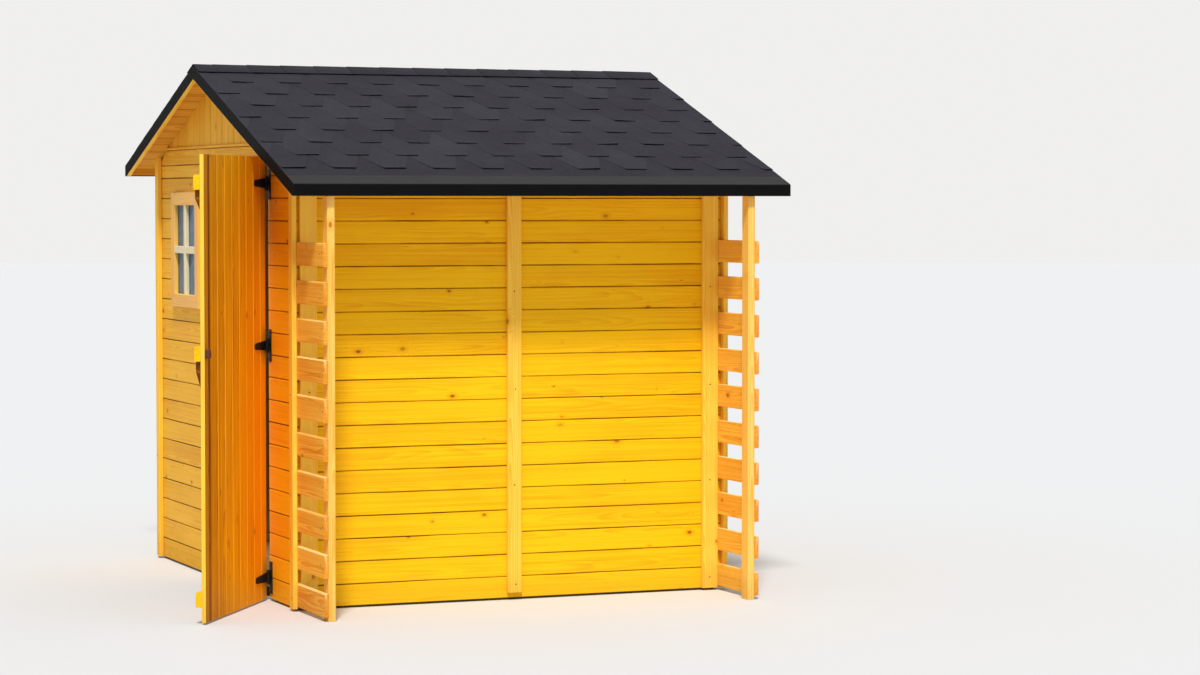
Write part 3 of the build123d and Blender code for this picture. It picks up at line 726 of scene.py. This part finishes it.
for left in (-FRAME_X, FRAME_X - POST_FACE):
    timber(work, (left, STORE_Y, 0), (left + POST_FACE, STORE_Y + POST, soffit), 2, 0.003)
assemble(work, "post_pair", post_stain, SHED, "store_posts")

SLATS, SLAT, SLAT_FOOT, SLAT_PITCH = 10, 0.092, 0.017, 0.1494
EASE, ARRIS_HIGHLIGHT = 0.0025, 0.004
slat_section = (
    (0, EASE, 0),
    (EASE, 0, 0),
    (SLAT - ARRIS_HIGHLIGHT - 0.0015, 0, 0),
    (SLAT - ARRIS_HIGHLIGHT, 0, 1),
    (SLAT, 0.0035, 1),
    (SLAT, CLAD - EASE, 1),
    (SLAT - EASE, CLAD, 0),
    (EASE, CLAD, 0),
    (0, CLAD - EASE, 0),
)
for node, name, face, inward in (
    ("left_store_slats", "left_slats", -GABLE_X, 1),
    ("right_store_slats", "right_slats", GABLE_X, -1),
):
    work = start_work()
    for row in range(SLATS):
        foot = SLAT_FOOT + SLAT_PITCH * row
        where = lay((face, 0, foot), (0, 1, 0), (0, 0, 1), (inward, 0, 0))
        mill(work, where, slat_section, STORE_Y, -WALL_Y)
    assemble(work, name, stained_slat, SHED, node)


# Window: a mitred casing round the hole, and a bead of the same wood that holds the pane against
# it from inside. The inner edges are painted paler than the faces as highlights. Cream bars,
# halved over each other, stand in the casing before the pane.
casing_stain = wood_finish(
    "casing_stain", (240, 184, 98), (214, 144, 62), (150, 84, 30), (255, 222, 96), 0.56,
    knots=0.3, rings=0.4, shine=0.16,
)
CASING, PANE = 0.057, 0.004


def mitred_ring(work, face, inward, width, thickness):
    """Four boards round the window's opening, mitred at its corners, from a face inwards."""
    near, far, foot, head = WINDOW
    for along, across, start, end, edge in (
        ((0, 1, 0), (0, 0, -1), near, far, foot),
        ((0, 1, 0), (0, 0, 1), near, far, head),
        ((0, 0, 1), (0, -1, 0), foot, head, near),
        ((0, 0, 1), (0, 1, 0), foot, head, far),
    ):
        origin = Vector((face, 0, edge) if along[1] else (face, edge, 0))
        along, across = Vector(along), Vector(across)
        cuts = (
            (origin + along * start, -along - across),
            (origin + along * end, along - across),
        )
        # The inner edge carries the groove mark, which the casing's stain paints pale as a highlight.
        section = [(a, d, float(a == 0)) for a, d, _ in square(width, thickness)]
        where = lay(origin, along, across, (inward, 0, 0))
        mill(work, where, section, start - width, end + width, cuts, soak=0)


work = start_work()
mitred_ring(work, -GABLE_X - TRIM, 1, CASING, TRIM)
mitred_ring(work, -GABLE_X + PANE, 1, REBATE, CLAD - PANE)
assemble(work, "window_surround", casing_stain, SHED, "window_casing")


def painted_finish(name, colour, under, roughness, fine, shine=0.5):
    """Brushed or coated paint: faint brush marks or orange peel, dust, and thin spots."""
    finish, tree, shader = new_finish(name)
    under = srgb(*under)
    place = wire(tree, "ShaderNodeTexCoord").outputs["Object"]
    cloud = noise(tree, place, 9.0, 5.0, 0.6)
    speck = noise(tree, place, fine, 3.0, 0.6)
    colour = mix(tree, ramp(tree, cloud, 0.35, 0.75, 0.0, 0.55), srgb(*colour), under)
    colour = mix(tree, ramp(tree, speck, 0.62, 0.78, 0.0, 0.35), colour, under)
    gloss = sums(tree, "MULTIPLY_ADD", cloud, 0.25, roughness - 0.1, clamp=True)
    coat(tree, shader, colour, gloss, shine, speck, 0.35, 0.0004)
    return finish


cream_paint = painted_finish("cream_paint", (230, 216, 178), (204, 190, 150), 0.5, 300, 0.3)
BAR, BAR_DEPTH = 0.032, 0.018
near, far, foot, head = WINDOW
left_bar, right_bar = ((near + far) / 2 + half for half in (-BAR / 2, BAR / 2))
low_bar, high_bar = ((foot + head) / 2 + half for half in (-BAR / 2, BAR / 2))
work = start_work()
for y0, y1, z0, z1, along in (
    (left_bar, right_bar, foot, head, 2),
    (near, left_bar, low_bar, high_bar, 1),
    (right_bar, far, low_bar, high_bar, 1),
):
    timber(work, (-GABLE_X - BAR_DEPTH, y0, z0), (-GABLE_X, y1, z1), along, 0.003)
assemble(work, "glazing_bars", cream_paint, SHED, "window_bars")

clear_pane, tree, pane = new_finish("clear_pane")
pane.inputs["Transmission Weight"].default_value = 0.25
pane.inputs["IOR"].default_value = 1.5
pane.inputs["Specular IOR Level"].default_value = 0.1
smears = noise(tree, wire(tree, "ShaderNodeTexCoord").outputs["Object"], 14.0, 4.0, 0.6)
feed(tree, pane.inputs["Roughness"], ramp(tree, smears, 0.4, 0.75, 0.06, 0.3))
# The pane's blue colour is a painted reflection of the sky; the smears also roughen it.
painted_sky_reflection = mix(tree, ramp(tree, smears, 0.4, 0.7), srgb(74, 122, 158), srgb(54, 96, 134))
feed(tree, pane.inputs["Base Color"], painted_sky_reflection)
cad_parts["window_glass"].material_slots[0].material = clear_pane


# Roof boards: the same tongued and grooved pine, laid along the ridge on the rafters with the V
# joints down, so that they show under the overhangs. Fascias and bargeboards close their edges.
golden_eave = wood_finish(
    "golden_eave", (236, 176, 56), (205, 132, 24), (130, 68, 10), (60, 30, 6), 0.6,
    splash=0.0, shine=0.14,
)
DECK_X, VERGE_X, SHINGLE = 1.0255, 1.045, 0.006
FASCIA_BACK, FASCIA_DEPTH, BARGEBOARD = 0.0015, 0.042, 0.057
EAVE_DROP = 0.046
SLOPES = ((-1, "front", -1.436), (1, "rear", 1.155))
for side, slope_name, eave in SLOPES:
    work = start_work()
    down, outward = slope_ways(side)
    eave -= side * (FASCIA_BACK + CLAD)
    ridge = Vector((0, RIDGE_Y, roof_z(RIDGE_Y, DECK_UNDER)))
    length = abs(eave - RIDGE_Y) / math.cos(PITCH) + 0.02
    for step in range(-1, math.ceil(length / COVER)):
        where = lay(ridge + down * COVER * step, (1, 0, 0), down, outward)
        cuts = between(side, RIDGE_Y, eave)
        mill(work, where, matchboard(COVER, CLAD), -DECK_X, DECK_X, cuts)
    assemble(work, slope_name + "_deck", golden_eave, SHED, slope_name + "_roof_boards")
work = start_work()
for side, _, eave in SLOPES:
    eave -= side * FASCIA_BACK
    foot = roof_z(eave, SHINGLE) - FASCIA_DEPTH
    outer_head, inner_head = (roof_z(y, SHINGLE) - foot for y in (eave, eave - side * CLAD))
    section = eased(((0, 0), (CLAD, 0), (CLAD, inner_head), (0, outer_head)), 0.002)
    where = lay((0, eave, foot), (1, 0, 0), (0, -side, 0), (0, 0, 1))
    mill(work, where, section, -DECK_X, DECK_X)
assemble(work, "fascia_pair", golden_eave, SHED, "eave_fascias")
work = start_work()
for left in (-DECK_X - CLAD, DECK_X):
    for side, _, eave in SLOPES:
        eave -= side * FASCIA_BACK
        down, outward = slope_ways(side)
        where = lay((left, RIDGE_Y, roof_z(RIDGE_Y, SHINGLE)), down, (1, 0, 0), -outward)
        level = ((0, 0, roof_z(eave, SHINGLE) - EAVE_DROP), (0, 0, -1))
        section = square(CLAD, BARGEBOARD * math.cos(PITCH), 0.002)
        mill(work, where, section, -ROUGH, ROUGH, (*between(side, RIDGE_Y, eave), level))
assemble(work, "bargeboard_set", golden_trim, SHED, "bargeboards")


# Coated sheet edges the roof. Along the eaves it lies on the boards and over the ends of
# the verge pieces, bends down outside the fascia and is hemmed at its foot. Up the verges it
# hangs outside the bargeboards. Its coat is a dull grey, which shows where it faces the sky;
# where it hangs down or sideways it is painted near black, a painted shade.
sheet_with_painted_shade = painted_finish("sheet_with_painted_shade", (7, 7, 8), (16, 16, 18), 0.75, 160, 0.08)
tree = sheet_with_painted_shade.node_tree
sheet_coat = tree.nodes["Principled BSDF"].inputs["Base Color"]
# Faces that look up keep the coat's own grey; the rest get the near black painted shade.
facing = wire(tree, "ShaderNodeNewGeometry").outputs["Normal"]
lit_top_share = ramp(tree, wire(tree, "ShaderNodeSeparateXYZ", {0: facing}).outputs[2], 0.2, 0.9)
feed(tree, sheet_coat, mix(tree, lit_top_share, sheet_coat.links[0].from_socket, srgb(51, 51, 52)))
SHEET, BEND, VERGE_DROP = 0.0006, 0.005, 0.052
EAVE_LAP, EAVE_HEM, VERGE_LAP, VERGE_HEM = 0.125, 0.006, 0.060, 0.001


def bend_sheet(work, line, start, end, place):
    """Run sheet metal from start to end, bent along a line that its outer face follows."""
    outer = [Vector(point) for point in line]
    ways = [(b - a).normalized() for a, b in zip(outer, outer[1:])]
    inner = []
    for at, point in enumerate(outer):
        way = (ways[max(0, at - 1)] + ways[min(at, len(ways) - 1)]).normalized()
        mitre = SHEET / way.dot(ways[max(0, at - 1)])
        inner.append(point + Vector((way.y, -way.x)) * mitre)
    section = outer + inner[::-1]
    skin(work, [[work.verts.new(place(way, *point)) for point in section] for way in (start, end)])


def folded_down(lap, slope, fold, drop, hem):
    """The line of a sheet that comes down a slope to a fold, drops plumb and turns in."""
    before, corner, after = fold - slope * BEND, fold, fold - Vector((0, BEND))
    bend = [
        before * (1 - s) ** 2 + corner * 2 * s * (1 - s) + after * s * s
        for s in (0, 0.25, 0.5, 0.75, 1)
    ]
    foot = fold - Vector((0, drop))
    return [fold - slope * lap, *bend, foot, foot - Vector((hem, 0))]


def saw(work, point, normal):
    """Cut every piece of the work off at a plane, close the cuts and keep what is behind."""
    everything = work.verts[:] + work.edges[:] + work.faces[:]
    cut = bmesh.ops.bisect_plane(
        work, geom=everything, plane_co=point, plane_no=normal, clear_outer=True
    )
    edges = [item for item in cut["geom_cut"] if isinstance(item, bmesh.types.BMEdge)]
    bmesh.ops.edgeloop_fill(work, edges=edges)


work = start_work()
for side, _, eave in SLOPES:
    slope = Vector((math.cos(PITCH), -math.sin(PITCH)))
    fold = Vector((0, roof_z(eave, SHINGLE) + SHEET * 2))
    line = folded_down(EAVE_LAP, slope, fold, EAVE_DROP + SHEET * 2, EAVE_HEM)
    bend_sheet(work, line, -VERGE_X, VERGE_X, lambda x, out, z: Vector((x, eave + side * out, z)))
assemble(work, "eave_sheets", sheet_with_painted_shade, SHED, "eave_flashings")
verge_drop = VERGE_DROP * math.cos(PITCH) + SHEET
verge_line = folded_down(VERGE_LAP, Vector((1, 0)), Vector((0, SHEET)), verge_drop, VERGE_HEM)
for hand, hand_name in ((-1, "left"), (1, "right")):
    crest = Vector((hand * VERGE_X, RIDGE_Y, roof_z(RIDGE_Y, SHINGLE)))
    for side, slope_name, eave in SLOPES:
        down, outward = slope_ways(side)
        work = start_work()
        bend_sheet(
            work, verge_line, -ROUGH, ROUGH,
            lambda way, out, up: crest + down * way + outward * up + Vector((hand * out, 0, 0)),
        )
        eave -= side * SHEET
        for point, normal in between(side, RIDGE_Y, eave):
            saw(work, point, normal)
        saw(work, (0, 0, roof_z(eave, SHINGLE) - EAVE_DROP), (0, 0, -1))
        assemble(work, f"{hand_name}_{slope_name}_verge", sheet_with_painted_shade, SHED, "verge_flashings")


# Shingles: strips of bitumen felt with slate-grey granules, their lower edges cut into half
# hexagons and each course shifted by half a tab, nailed from the eave up. Cut edges are black,
# and a narrow band of each tab's top along its foot is painted black as shadow.
GAUGE, FELT, SIDE_WEAR = 0.158, 0.0014, 0.012
TAB, TAB_FOOT, TAB_PHASE = 0.2045, 0.086, 0.134
STARTER_FOOT, STARTER_HEAD, FIRST_FOOT, TOP_GAP, TOP_PLAY = 0.100, 0.330, 0.176, 0.12, 0.004


def shingle_finish(name, stone, stone_dark, edge_and_shadow_colour):
    """Mineral granules in two greys, lighter or darker by strip, black cut edges, and painted shadow
    where the groove mark says.
    """
    stone, stone_dark, edge_and_shadow_colour = (srgb(*colour) for colour in (stone, stone_dark, edge_and_shadow_colour))
    finish, tree, shader = new_finish(name)
    place = wire(tree, "ShaderNodeTexCoord").outputs["Object"]
    tone, groove = marks(tree, "tone", "groove")
    grit = wire(tree, "ShaderNodeTexVoronoi", {"Vector": place, "Scale": 620.0}).outputs
    stones = wire(tree, "ShaderNodeSeparateColor", {0: grit["Color"]}).outputs[0]
    cloud = noise(tree, place, 5.0, 5.0, 0.6)
    share = sums(tree, "MULTIPLY_ADD", stones, 0.75, sums(tree, "MULTIPLY", cloud, 0.5))
    share = sums(tree, "MULTIPLY_ADD", tone["Fac"], 0.12, sums(tree, "SUBTRACT", share, 0.2))
    colour = mix(tree, ramp(tree, share, 0.0, 1.0, kind="LINEAR"), stone_dark, stone)
    bare = sums(tree, "POWER", groove["Fac"], 2.0, clamp=True)
    coat(tree, shader, mix(tree, bare, colour, edge_and_shadow_colour), 0.92, 0.1, stones, 0.5, 0.0008)
    return finish


slate_felt = shingle_finish("slate_felt", (64, 63, 72), (34, 33, 39), (7, 7, 8))


def lay_course(work, side, foot_way, head_way, first, tabs):
    """One strip of felt on a slope, its foot and head so far down from the ridge.

    It is cut into tabs, the first one's middle at first, or left whole as the starter.
    """
    down, outward = slope_ways(side)
    crest = Vector((0, RIDGE_Y, roof_z(RIDGE_Y, SHINGLE)))
    tone, groove = work.verts.layers.float["tone"], work.verts.layers.float["groove"]

    def corner(x, way, height, dark, shade):
        made = work.verts.new(crest + down * way + outward * height + Vector((x, 0, 0)))
        made[groove], made[tone] = dark, shade
        return made

    def thickness_at(way):
        return (1 - (foot_way - way) / (2 * GAUGE)) * 2 * FELT

    def strip(middle, foot_half, head_half, lifts):
        """A tab, or the whole strip, from its free foot up to where it lies under the next."""
        shade = chance.uniform(-1, 1)
        rows = []
        # The third number darkens the foot's cut edge, which is black, and the first 6 mm of the tab's
        # top, a painted shadow.
        for back, rise, dark in (
            (0, 1, 1),
            (0.006, 0.8, 1),
            (0.008, 0.75, 0),
            (0.035, 0, 0),
            (GAUGE, 0, 0),
            (1, 0, 0),
        ):
            dark *= tabs
            way = max(head_way, foot_way - back)
            rest = max(0.0, thickness_at(way)) * tabs
            half = foot_half + (head_half - foot_half) * min(1, back / GAUGE)
            worn = FELT * (0.25 + 0.75 * rise)
            row = []
            for x, lift, thick in (
                (middle - half, lifts[0] * rise, worn),
                (middle - half + SIDE_WEAR, lifts[0] * rise, FELT),
                (middle + half - SIDE_WEAR, lifts[1] * rise, FELT),
                (middle + half, lifts[1] * rise, worn),
            ):
                row.append(corner(x, way, rest + thick + lift, dark, shade))
                row.append(corner(x, way, rest + lift * 0.8, dark, shade))
            rows.append(row)
        for near, far in zip(rows, rows[1:]):
            for k in (0, 2, 4):
                work.faces.new((near[k], near[k + 2], far[k + 2], far[k]))
                work.faces.new((near[k + 1], far[k + 1], far[k + 3], near[k + 3]))
            work.faces.new((near[0], far[0], far[1], near[1]))
            work.faces.new((near[6], near[7], far[7], far[6]))
        for k in (0, 2, 4):
            for a, b, c, d in (rows[0][k : k + 4], rows[-1][k + 2 : k + 4] + rows[-1][k : k + 2]):
                work.faces.new((a, b, d, c))

    if not tabs:
        strip(0, VERGE_X + TAB, VERGE_X + TAB, (0, 0))
        return
    for step in range(math.ceil(2 * VERGE_X / TAB) + 3):
        middle = first + TAB * step
        if abs(middle) < VERGE_X + TAB / 2:
            lifts = [min(0.004, max(0.0, chance.gauss(0.0012, 0.0014))) for _ in range(2)]
            strip(middle, TAB_FOOT / 2, TAB / 2, lifts)


for side, slope_name, eave in SLOPES:
    work = start_work()
    slope_length = abs(eave - RIDGE_Y) / math.cos(PITCH)
    lay_course(work, side, slope_length - STARTER_FOOT, slope_length - STARTER_HEAD, 0, False)
    foot_way = slope_length - FIRST_FOOT
    shift = TAB / 2
    while foot_way > TOP_GAP:
        head_way = max(TOP_PLAY, foot_way - 2 * GAUGE)
        lay_course(work, side, foot_way, head_way, TAB_PHASE - TAB * 7 + shift, True)
        foot_way -= GAUGE
        shift = TAB / 2 - shift
    for hand in (-1, 1):
        saw(work, (hand * VERGE_X, 0, 0), (hand, 0, 0))
    assemble(work, slope_name + "_courses", slate_felt, SHED, slope_name + "_shingles")


# Ridge: caps cut from the same felt are folded over it and lapped along its length, each one
# covering the nails of the one before.
CAP, CAP_STEP, CAP_REACH = 0.230, 0.148, 0.096
CAP_LIFT, CAP_START, CAP_END, CAP_DROOP = 0.0012, 0.0007, 0.0030, 0.0004
work = start_work()
tone, groove = work.verts.layers.float["tone"], work.verts.layers.float["groove"]
for step in range(math.ceil((2 * VERGE_X - CAP) / CAP_STEP) + 1):
    start = VERGE_X - CAP_STEP * step
    end = max(-VERGE_X, start - CAP)
    shade = chance.uniform(-0.8, 0.8)
    loops = []
    for x, height in ((start, CAP_START), (end, CAP_END)):
        for below, dark in ((0.0, 0.5), (FELT * 0.8, 1.0)):
            loop = []
            for y in (-CAP_REACH, -CAP_REACH / 2, 0, CAP_REACH / 2, CAP_REACH):
                edge = abs(y) == CAP_REACH
                rise = (height - below - CAP_DROOP * edge) / math.cos(PITCH) + CAP_LIFT
                made = work.verts.new((x, RIDGE_Y + y, roof_z(RIDGE_Y + y) + rise))
                made[tone] = shade
                made[groove] = dark if edge or x == end else dark - 0.5
                loop.append(made)
            loops.append(loop)
    near_top, near_under, far_top, far_under = loops
    skin(work, (near_top + near_under[::-1], far_top + far_under[::-1]))
assemble(work, "ridge_caps", slate_felt, SHED, "ridge_cap")


# Door leaf: upright tongued and grooved boards, 16 mm thick, a deeper orange than the walls
# that partly paints the shade of light grazing the leaf, with V joints painted pale as
# highlights. The outermost board is a darker brown, the dark strip beside it is a painted
# shadow, and the free edge is painted pale as a highlight.
DOOR = "door"
door_shade_and_highlights = wood_finish(
    "door_shade_and_highlights", (255, 176, 8), (184, 106, 2), (150, 72, 4), (255, 204, 92), 0.55,
    knots=0.45, rings=0.35, shine=0.14, stain=0.5,
)
brown_and_painted_shade = wood_finish(
    "brown_and_painted_shade", (200, 128, 22), (104, 46, 2), (84, 40, 4), (70, 32, 2), 0.6,
    knots=0.45, rings=0.3, shine=0.14, stain=0.6,
)
DOOR_OPEN = math.radians(146)  # from closed, where the leaf runs from its hinges to the rear
LEAF_WAY = Vector((-math.sin(DOOR_OPEN), math.cos(DOOR_OPEN), 0))
LEAF_IN = Vector((LEAF_WAY.y, -LEAF_WAY.x, 0))
HINGE = Vector((-0.9255, -0.6755, 0))
UP = Vector((0, 0, 1))
LEAF_FOOT, LEAF_HEAD, LEAF_EDGE, LEAF_FACE, LEAF_BOARD = 0.008, 1.791, 0.0035, 0.0055, 0.016
END_BOARD, SLIP, EDGE_HIGHLIGHT = 0.070, 0.024, 0.0025
LEAF_TONES = (-0.9, -0.75, -0.6, -0.3, 0.1, 0.15, 0.45, 0.8)


def on_leaf(along, inward, height=0.0):
    """A point of the leaf: so far from the hinges' axis along it, in from it and up."""
    return HINGE + LEAF_WAY * along + LEAF_IN * inward + UP * height


work = start_work()
edge = LEAF_EDGE
for step, tone in enumerate(LEAF_TONES):
    cover = COVER if step else END_BOARD
    where = lay(on_leaf(edge, LEAF_FACE), UP, LEAF_WAY, LEAF_IN)
    plain = {0: (0,), len(LEAF_TONES) - 1: (1,)}.get(step, ())
    # How far each V's pale painted highlight reaches.
    worn = chance.uniform(0.3, 1.0)
    section = matchboard(cover, LEAF_BOARD, 0.003, 0.0007, 0.006, plain, (0.7 * worn, worn))
    mill(work, where, section, LEAF_FOOT, LEAF_HEAD, tone=tone, soak=0)
    edge += cover
assemble(work, "leaf", door_shade_and_highlights, DOOR, "door_boards")
# The strip beside the outer board is painted dark brown as a shadow; the outer board is a darker brown.
for name, finish, cover, tone in (
    ("painted_shadow_slip", brown_and_painted_shade, SLIP, 1.0),
    ("outer_board", brown_and_painted_shade, END_BOARD - SLIP - EDGE_HIGHLIGHT, -0.2),
    ("highlit_edge", golden_trim, EDGE_HIGHLIGHT, 0.0),
):
    work = start_work()
    where = lay(on_leaf(edge, LEAF_FACE), UP, LEAF_WAY, LEAF_IN)
    mill(work, where, square(cover, LEAF_BOARD, 0.001), LEAF_FOOT, LEAF_HEAD, tone=tone, soak=0)
    assemble(work, name, finish, DOOR, "door_boards")
    edge += cover


# Three ledges and two braces hold the leaf's boards from behind. The ledges stop a little short
# of the hinges, and their ends show at the free edge. The braces are painted the deepest brown,
# a painted shade under the ledges.
LEDGES = (0.095, 1.033, 1.685)
LEDGE, LEDGE_THICK, LEDGE_START, LEDGE_END, BRACE_END = 0.057, 0.025, 0.0235, 0.7735, 0.7535
ledge_section = square(LEDGE, LEDGE_THICK, 0.003)
leaf_back = LEAF_FACE + LEAF_BOARD
work = start_work()
for level in LEDGES:
    where = lay(on_leaf(0, leaf_back, level - LEDGE / 2), LEAF_WAY, UP, LEAF_IN)
    mill(work, where, ledge_section, LEDGE_START, LEDGE_END, soak=0)
assemble(work, "ledges", golden_front, DOOR, "door_ledges")
for name, lower, upper in (("low_brace", *LEDGES[:2]), ("high_brace", *LEDGES[1:])):
    work = start_work()
    foot, head = lower + LEDGE / 2, upper - LEDGE / 2
    span, rise = BRACE_END - LEDGE_START, head - foot
    way = (LEAF_WAY * span + UP * rise).normalized()
    across = (UP * span - LEAF_WAY * rise).normalized()
    middle = on_leaf((LEDGE_START + BRACE_END) / 2, leaf_back, (foot + head) / 2)
    where = lay(middle - across * LEDGE / 2, way, across, LEAF_IN)
    mill(work, where, ledge_section, -ROUGH, ROUGH, tone=1.0)
    saw(work, on_leaf(0, 0, foot), -UP)
    saw(work, on_leaf(0, 0, head), UP)
    saw(work, on_leaf(LEDGE_START, 0), -LEAF_WAY)
    saw(work, on_leaf(BRACE_END, 0), LEAF_WAY)
    assemble(work, name, brown_and_painted_shade, DOOR, "door_braces")


# Ironwork: black coated T-hinges and a brown latch block. Domed bolts hold the hinges' straps and
# domed screws their plates.
black_iron = painted_finish("black_iron", (18, 17, 17), (46, 38, 33), 0.55, 400, 0.3)
brown_iron = painted_finish("brown_iron", (92, 44, 36), (54, 32, 26), 0.5, 300, 0.3)
for node, finish in (
    ("hinge_straps", black_iron),
    ("hinge_plates", black_iron),
    ("door_latch", brown_iron),
):
    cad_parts[node].material_slots[0].material = finish
STRAP_FACE, STRAP_BOLT, PLATE_FACE, PLATE_SCREW = 0.003, (0.0045, 0.0022), 0.0025, (0.004, 0.0018)
SCREW_LINE = HINGE.y - 0.0285


def stud_head(work, centre, normal, radius, height):
    """A domed head of a nail, screw or bolt, seated on a face."""
    normal = Vector(normal).normalized()
    side = normal.orthogonal().normalized()
    other = normal.cross(side)
    loops = []
    for share, rise in ((1.0, -0.0003), (1.0, height * 0.35), (0.6, height * 0.85)):
        loop = []
        for step in range(10):
            turn = math.tau * step / 10
            spoke = side * math.cos(turn) + other * math.sin(turn)
            loop.append(work.verts.new(Vector(centre) + spoke * radius * share + normal * rise))
        loops.append(loop)
    skin(work, loops)


work = start_work()
for level in LEDGES:
    for along, offset in ((0.022, 0.010), (0.022, -0.010), (0.070, 0.0), (0.128, 0.0)):
        stud_head(work, on_leaf(along, STRAP_FACE, level + offset), -LEAF_IN, *STRAP_BOLT)
bolts = assemble(work, "strap_bolts", black_iron, DOOR)
work = start_work()
for level in LEDGES:
    for offset in (-0.055, -0.030, 0.030, 0.055):
        centre = (-GABLE_X - PLATE_FACE, SCREW_LINE, level + offset)
        stud_head(work, centre, (-1, 0, 0), *PLATE_SCREW)
screws = assemble(work, "plate_screws", black_iron, SHED)


# Small nails with dull flat heads hold the trims, battens and slats.
nail_steel = painted_finish("nail_steel", (74, 62, 48), (40, 30, 22), 0.5, 500)
NAIL, TRIM_NAILS, LOW_NAIL, NAIL_STEP = (0.003, 0.0007), 5, 0.06, 0.40


def nail(work, centre, outward, sway, rise):
    """Drive a nail at about this place, up to sway off along the wall and rise off in height."""
    along = Vector((abs(outward[1]), abs(outward[0]), 0))
    centre = Vector(centre) + along * chance.uniform(-sway, sway)
    centre.z += chance.uniform(-rise, rise)
    stud_head(work, centre, outward, *NAIL)


def nail_trim(work, x, y, outward):
    """A row of nails up a trim or batten."""
    for step in range(TRIM_NAILS):
        nail(work, (x, y, LOW_NAIL + NAIL_STEP * step), outward, 0.004, 0.010)


work = start_work()
for side in (-1, 1):
    for left, right, _ in BATTENS:
        nail_trim(work, (left + right) / 2, side * (WALL_Y + TRIM), (0, side, 0))
for side in (-1, 1):
    for _, near, far in CORNERS:
        nail_trim(work, side * (GABLE_X + TRIM), (near + far) / 2, (side, 0, 0))
    for row in range(SLATS):
        for y in (-1.392, -1.360):
            centre = (side * GABLE_X, y, SLAT_FOOT + SLAT_PITCH * row + SLAT / 2)
            nail(work, centre, (side, 0, 0), 0.003, 0.020)
nails = assemble(work, "nails", nail_steel, SHED)
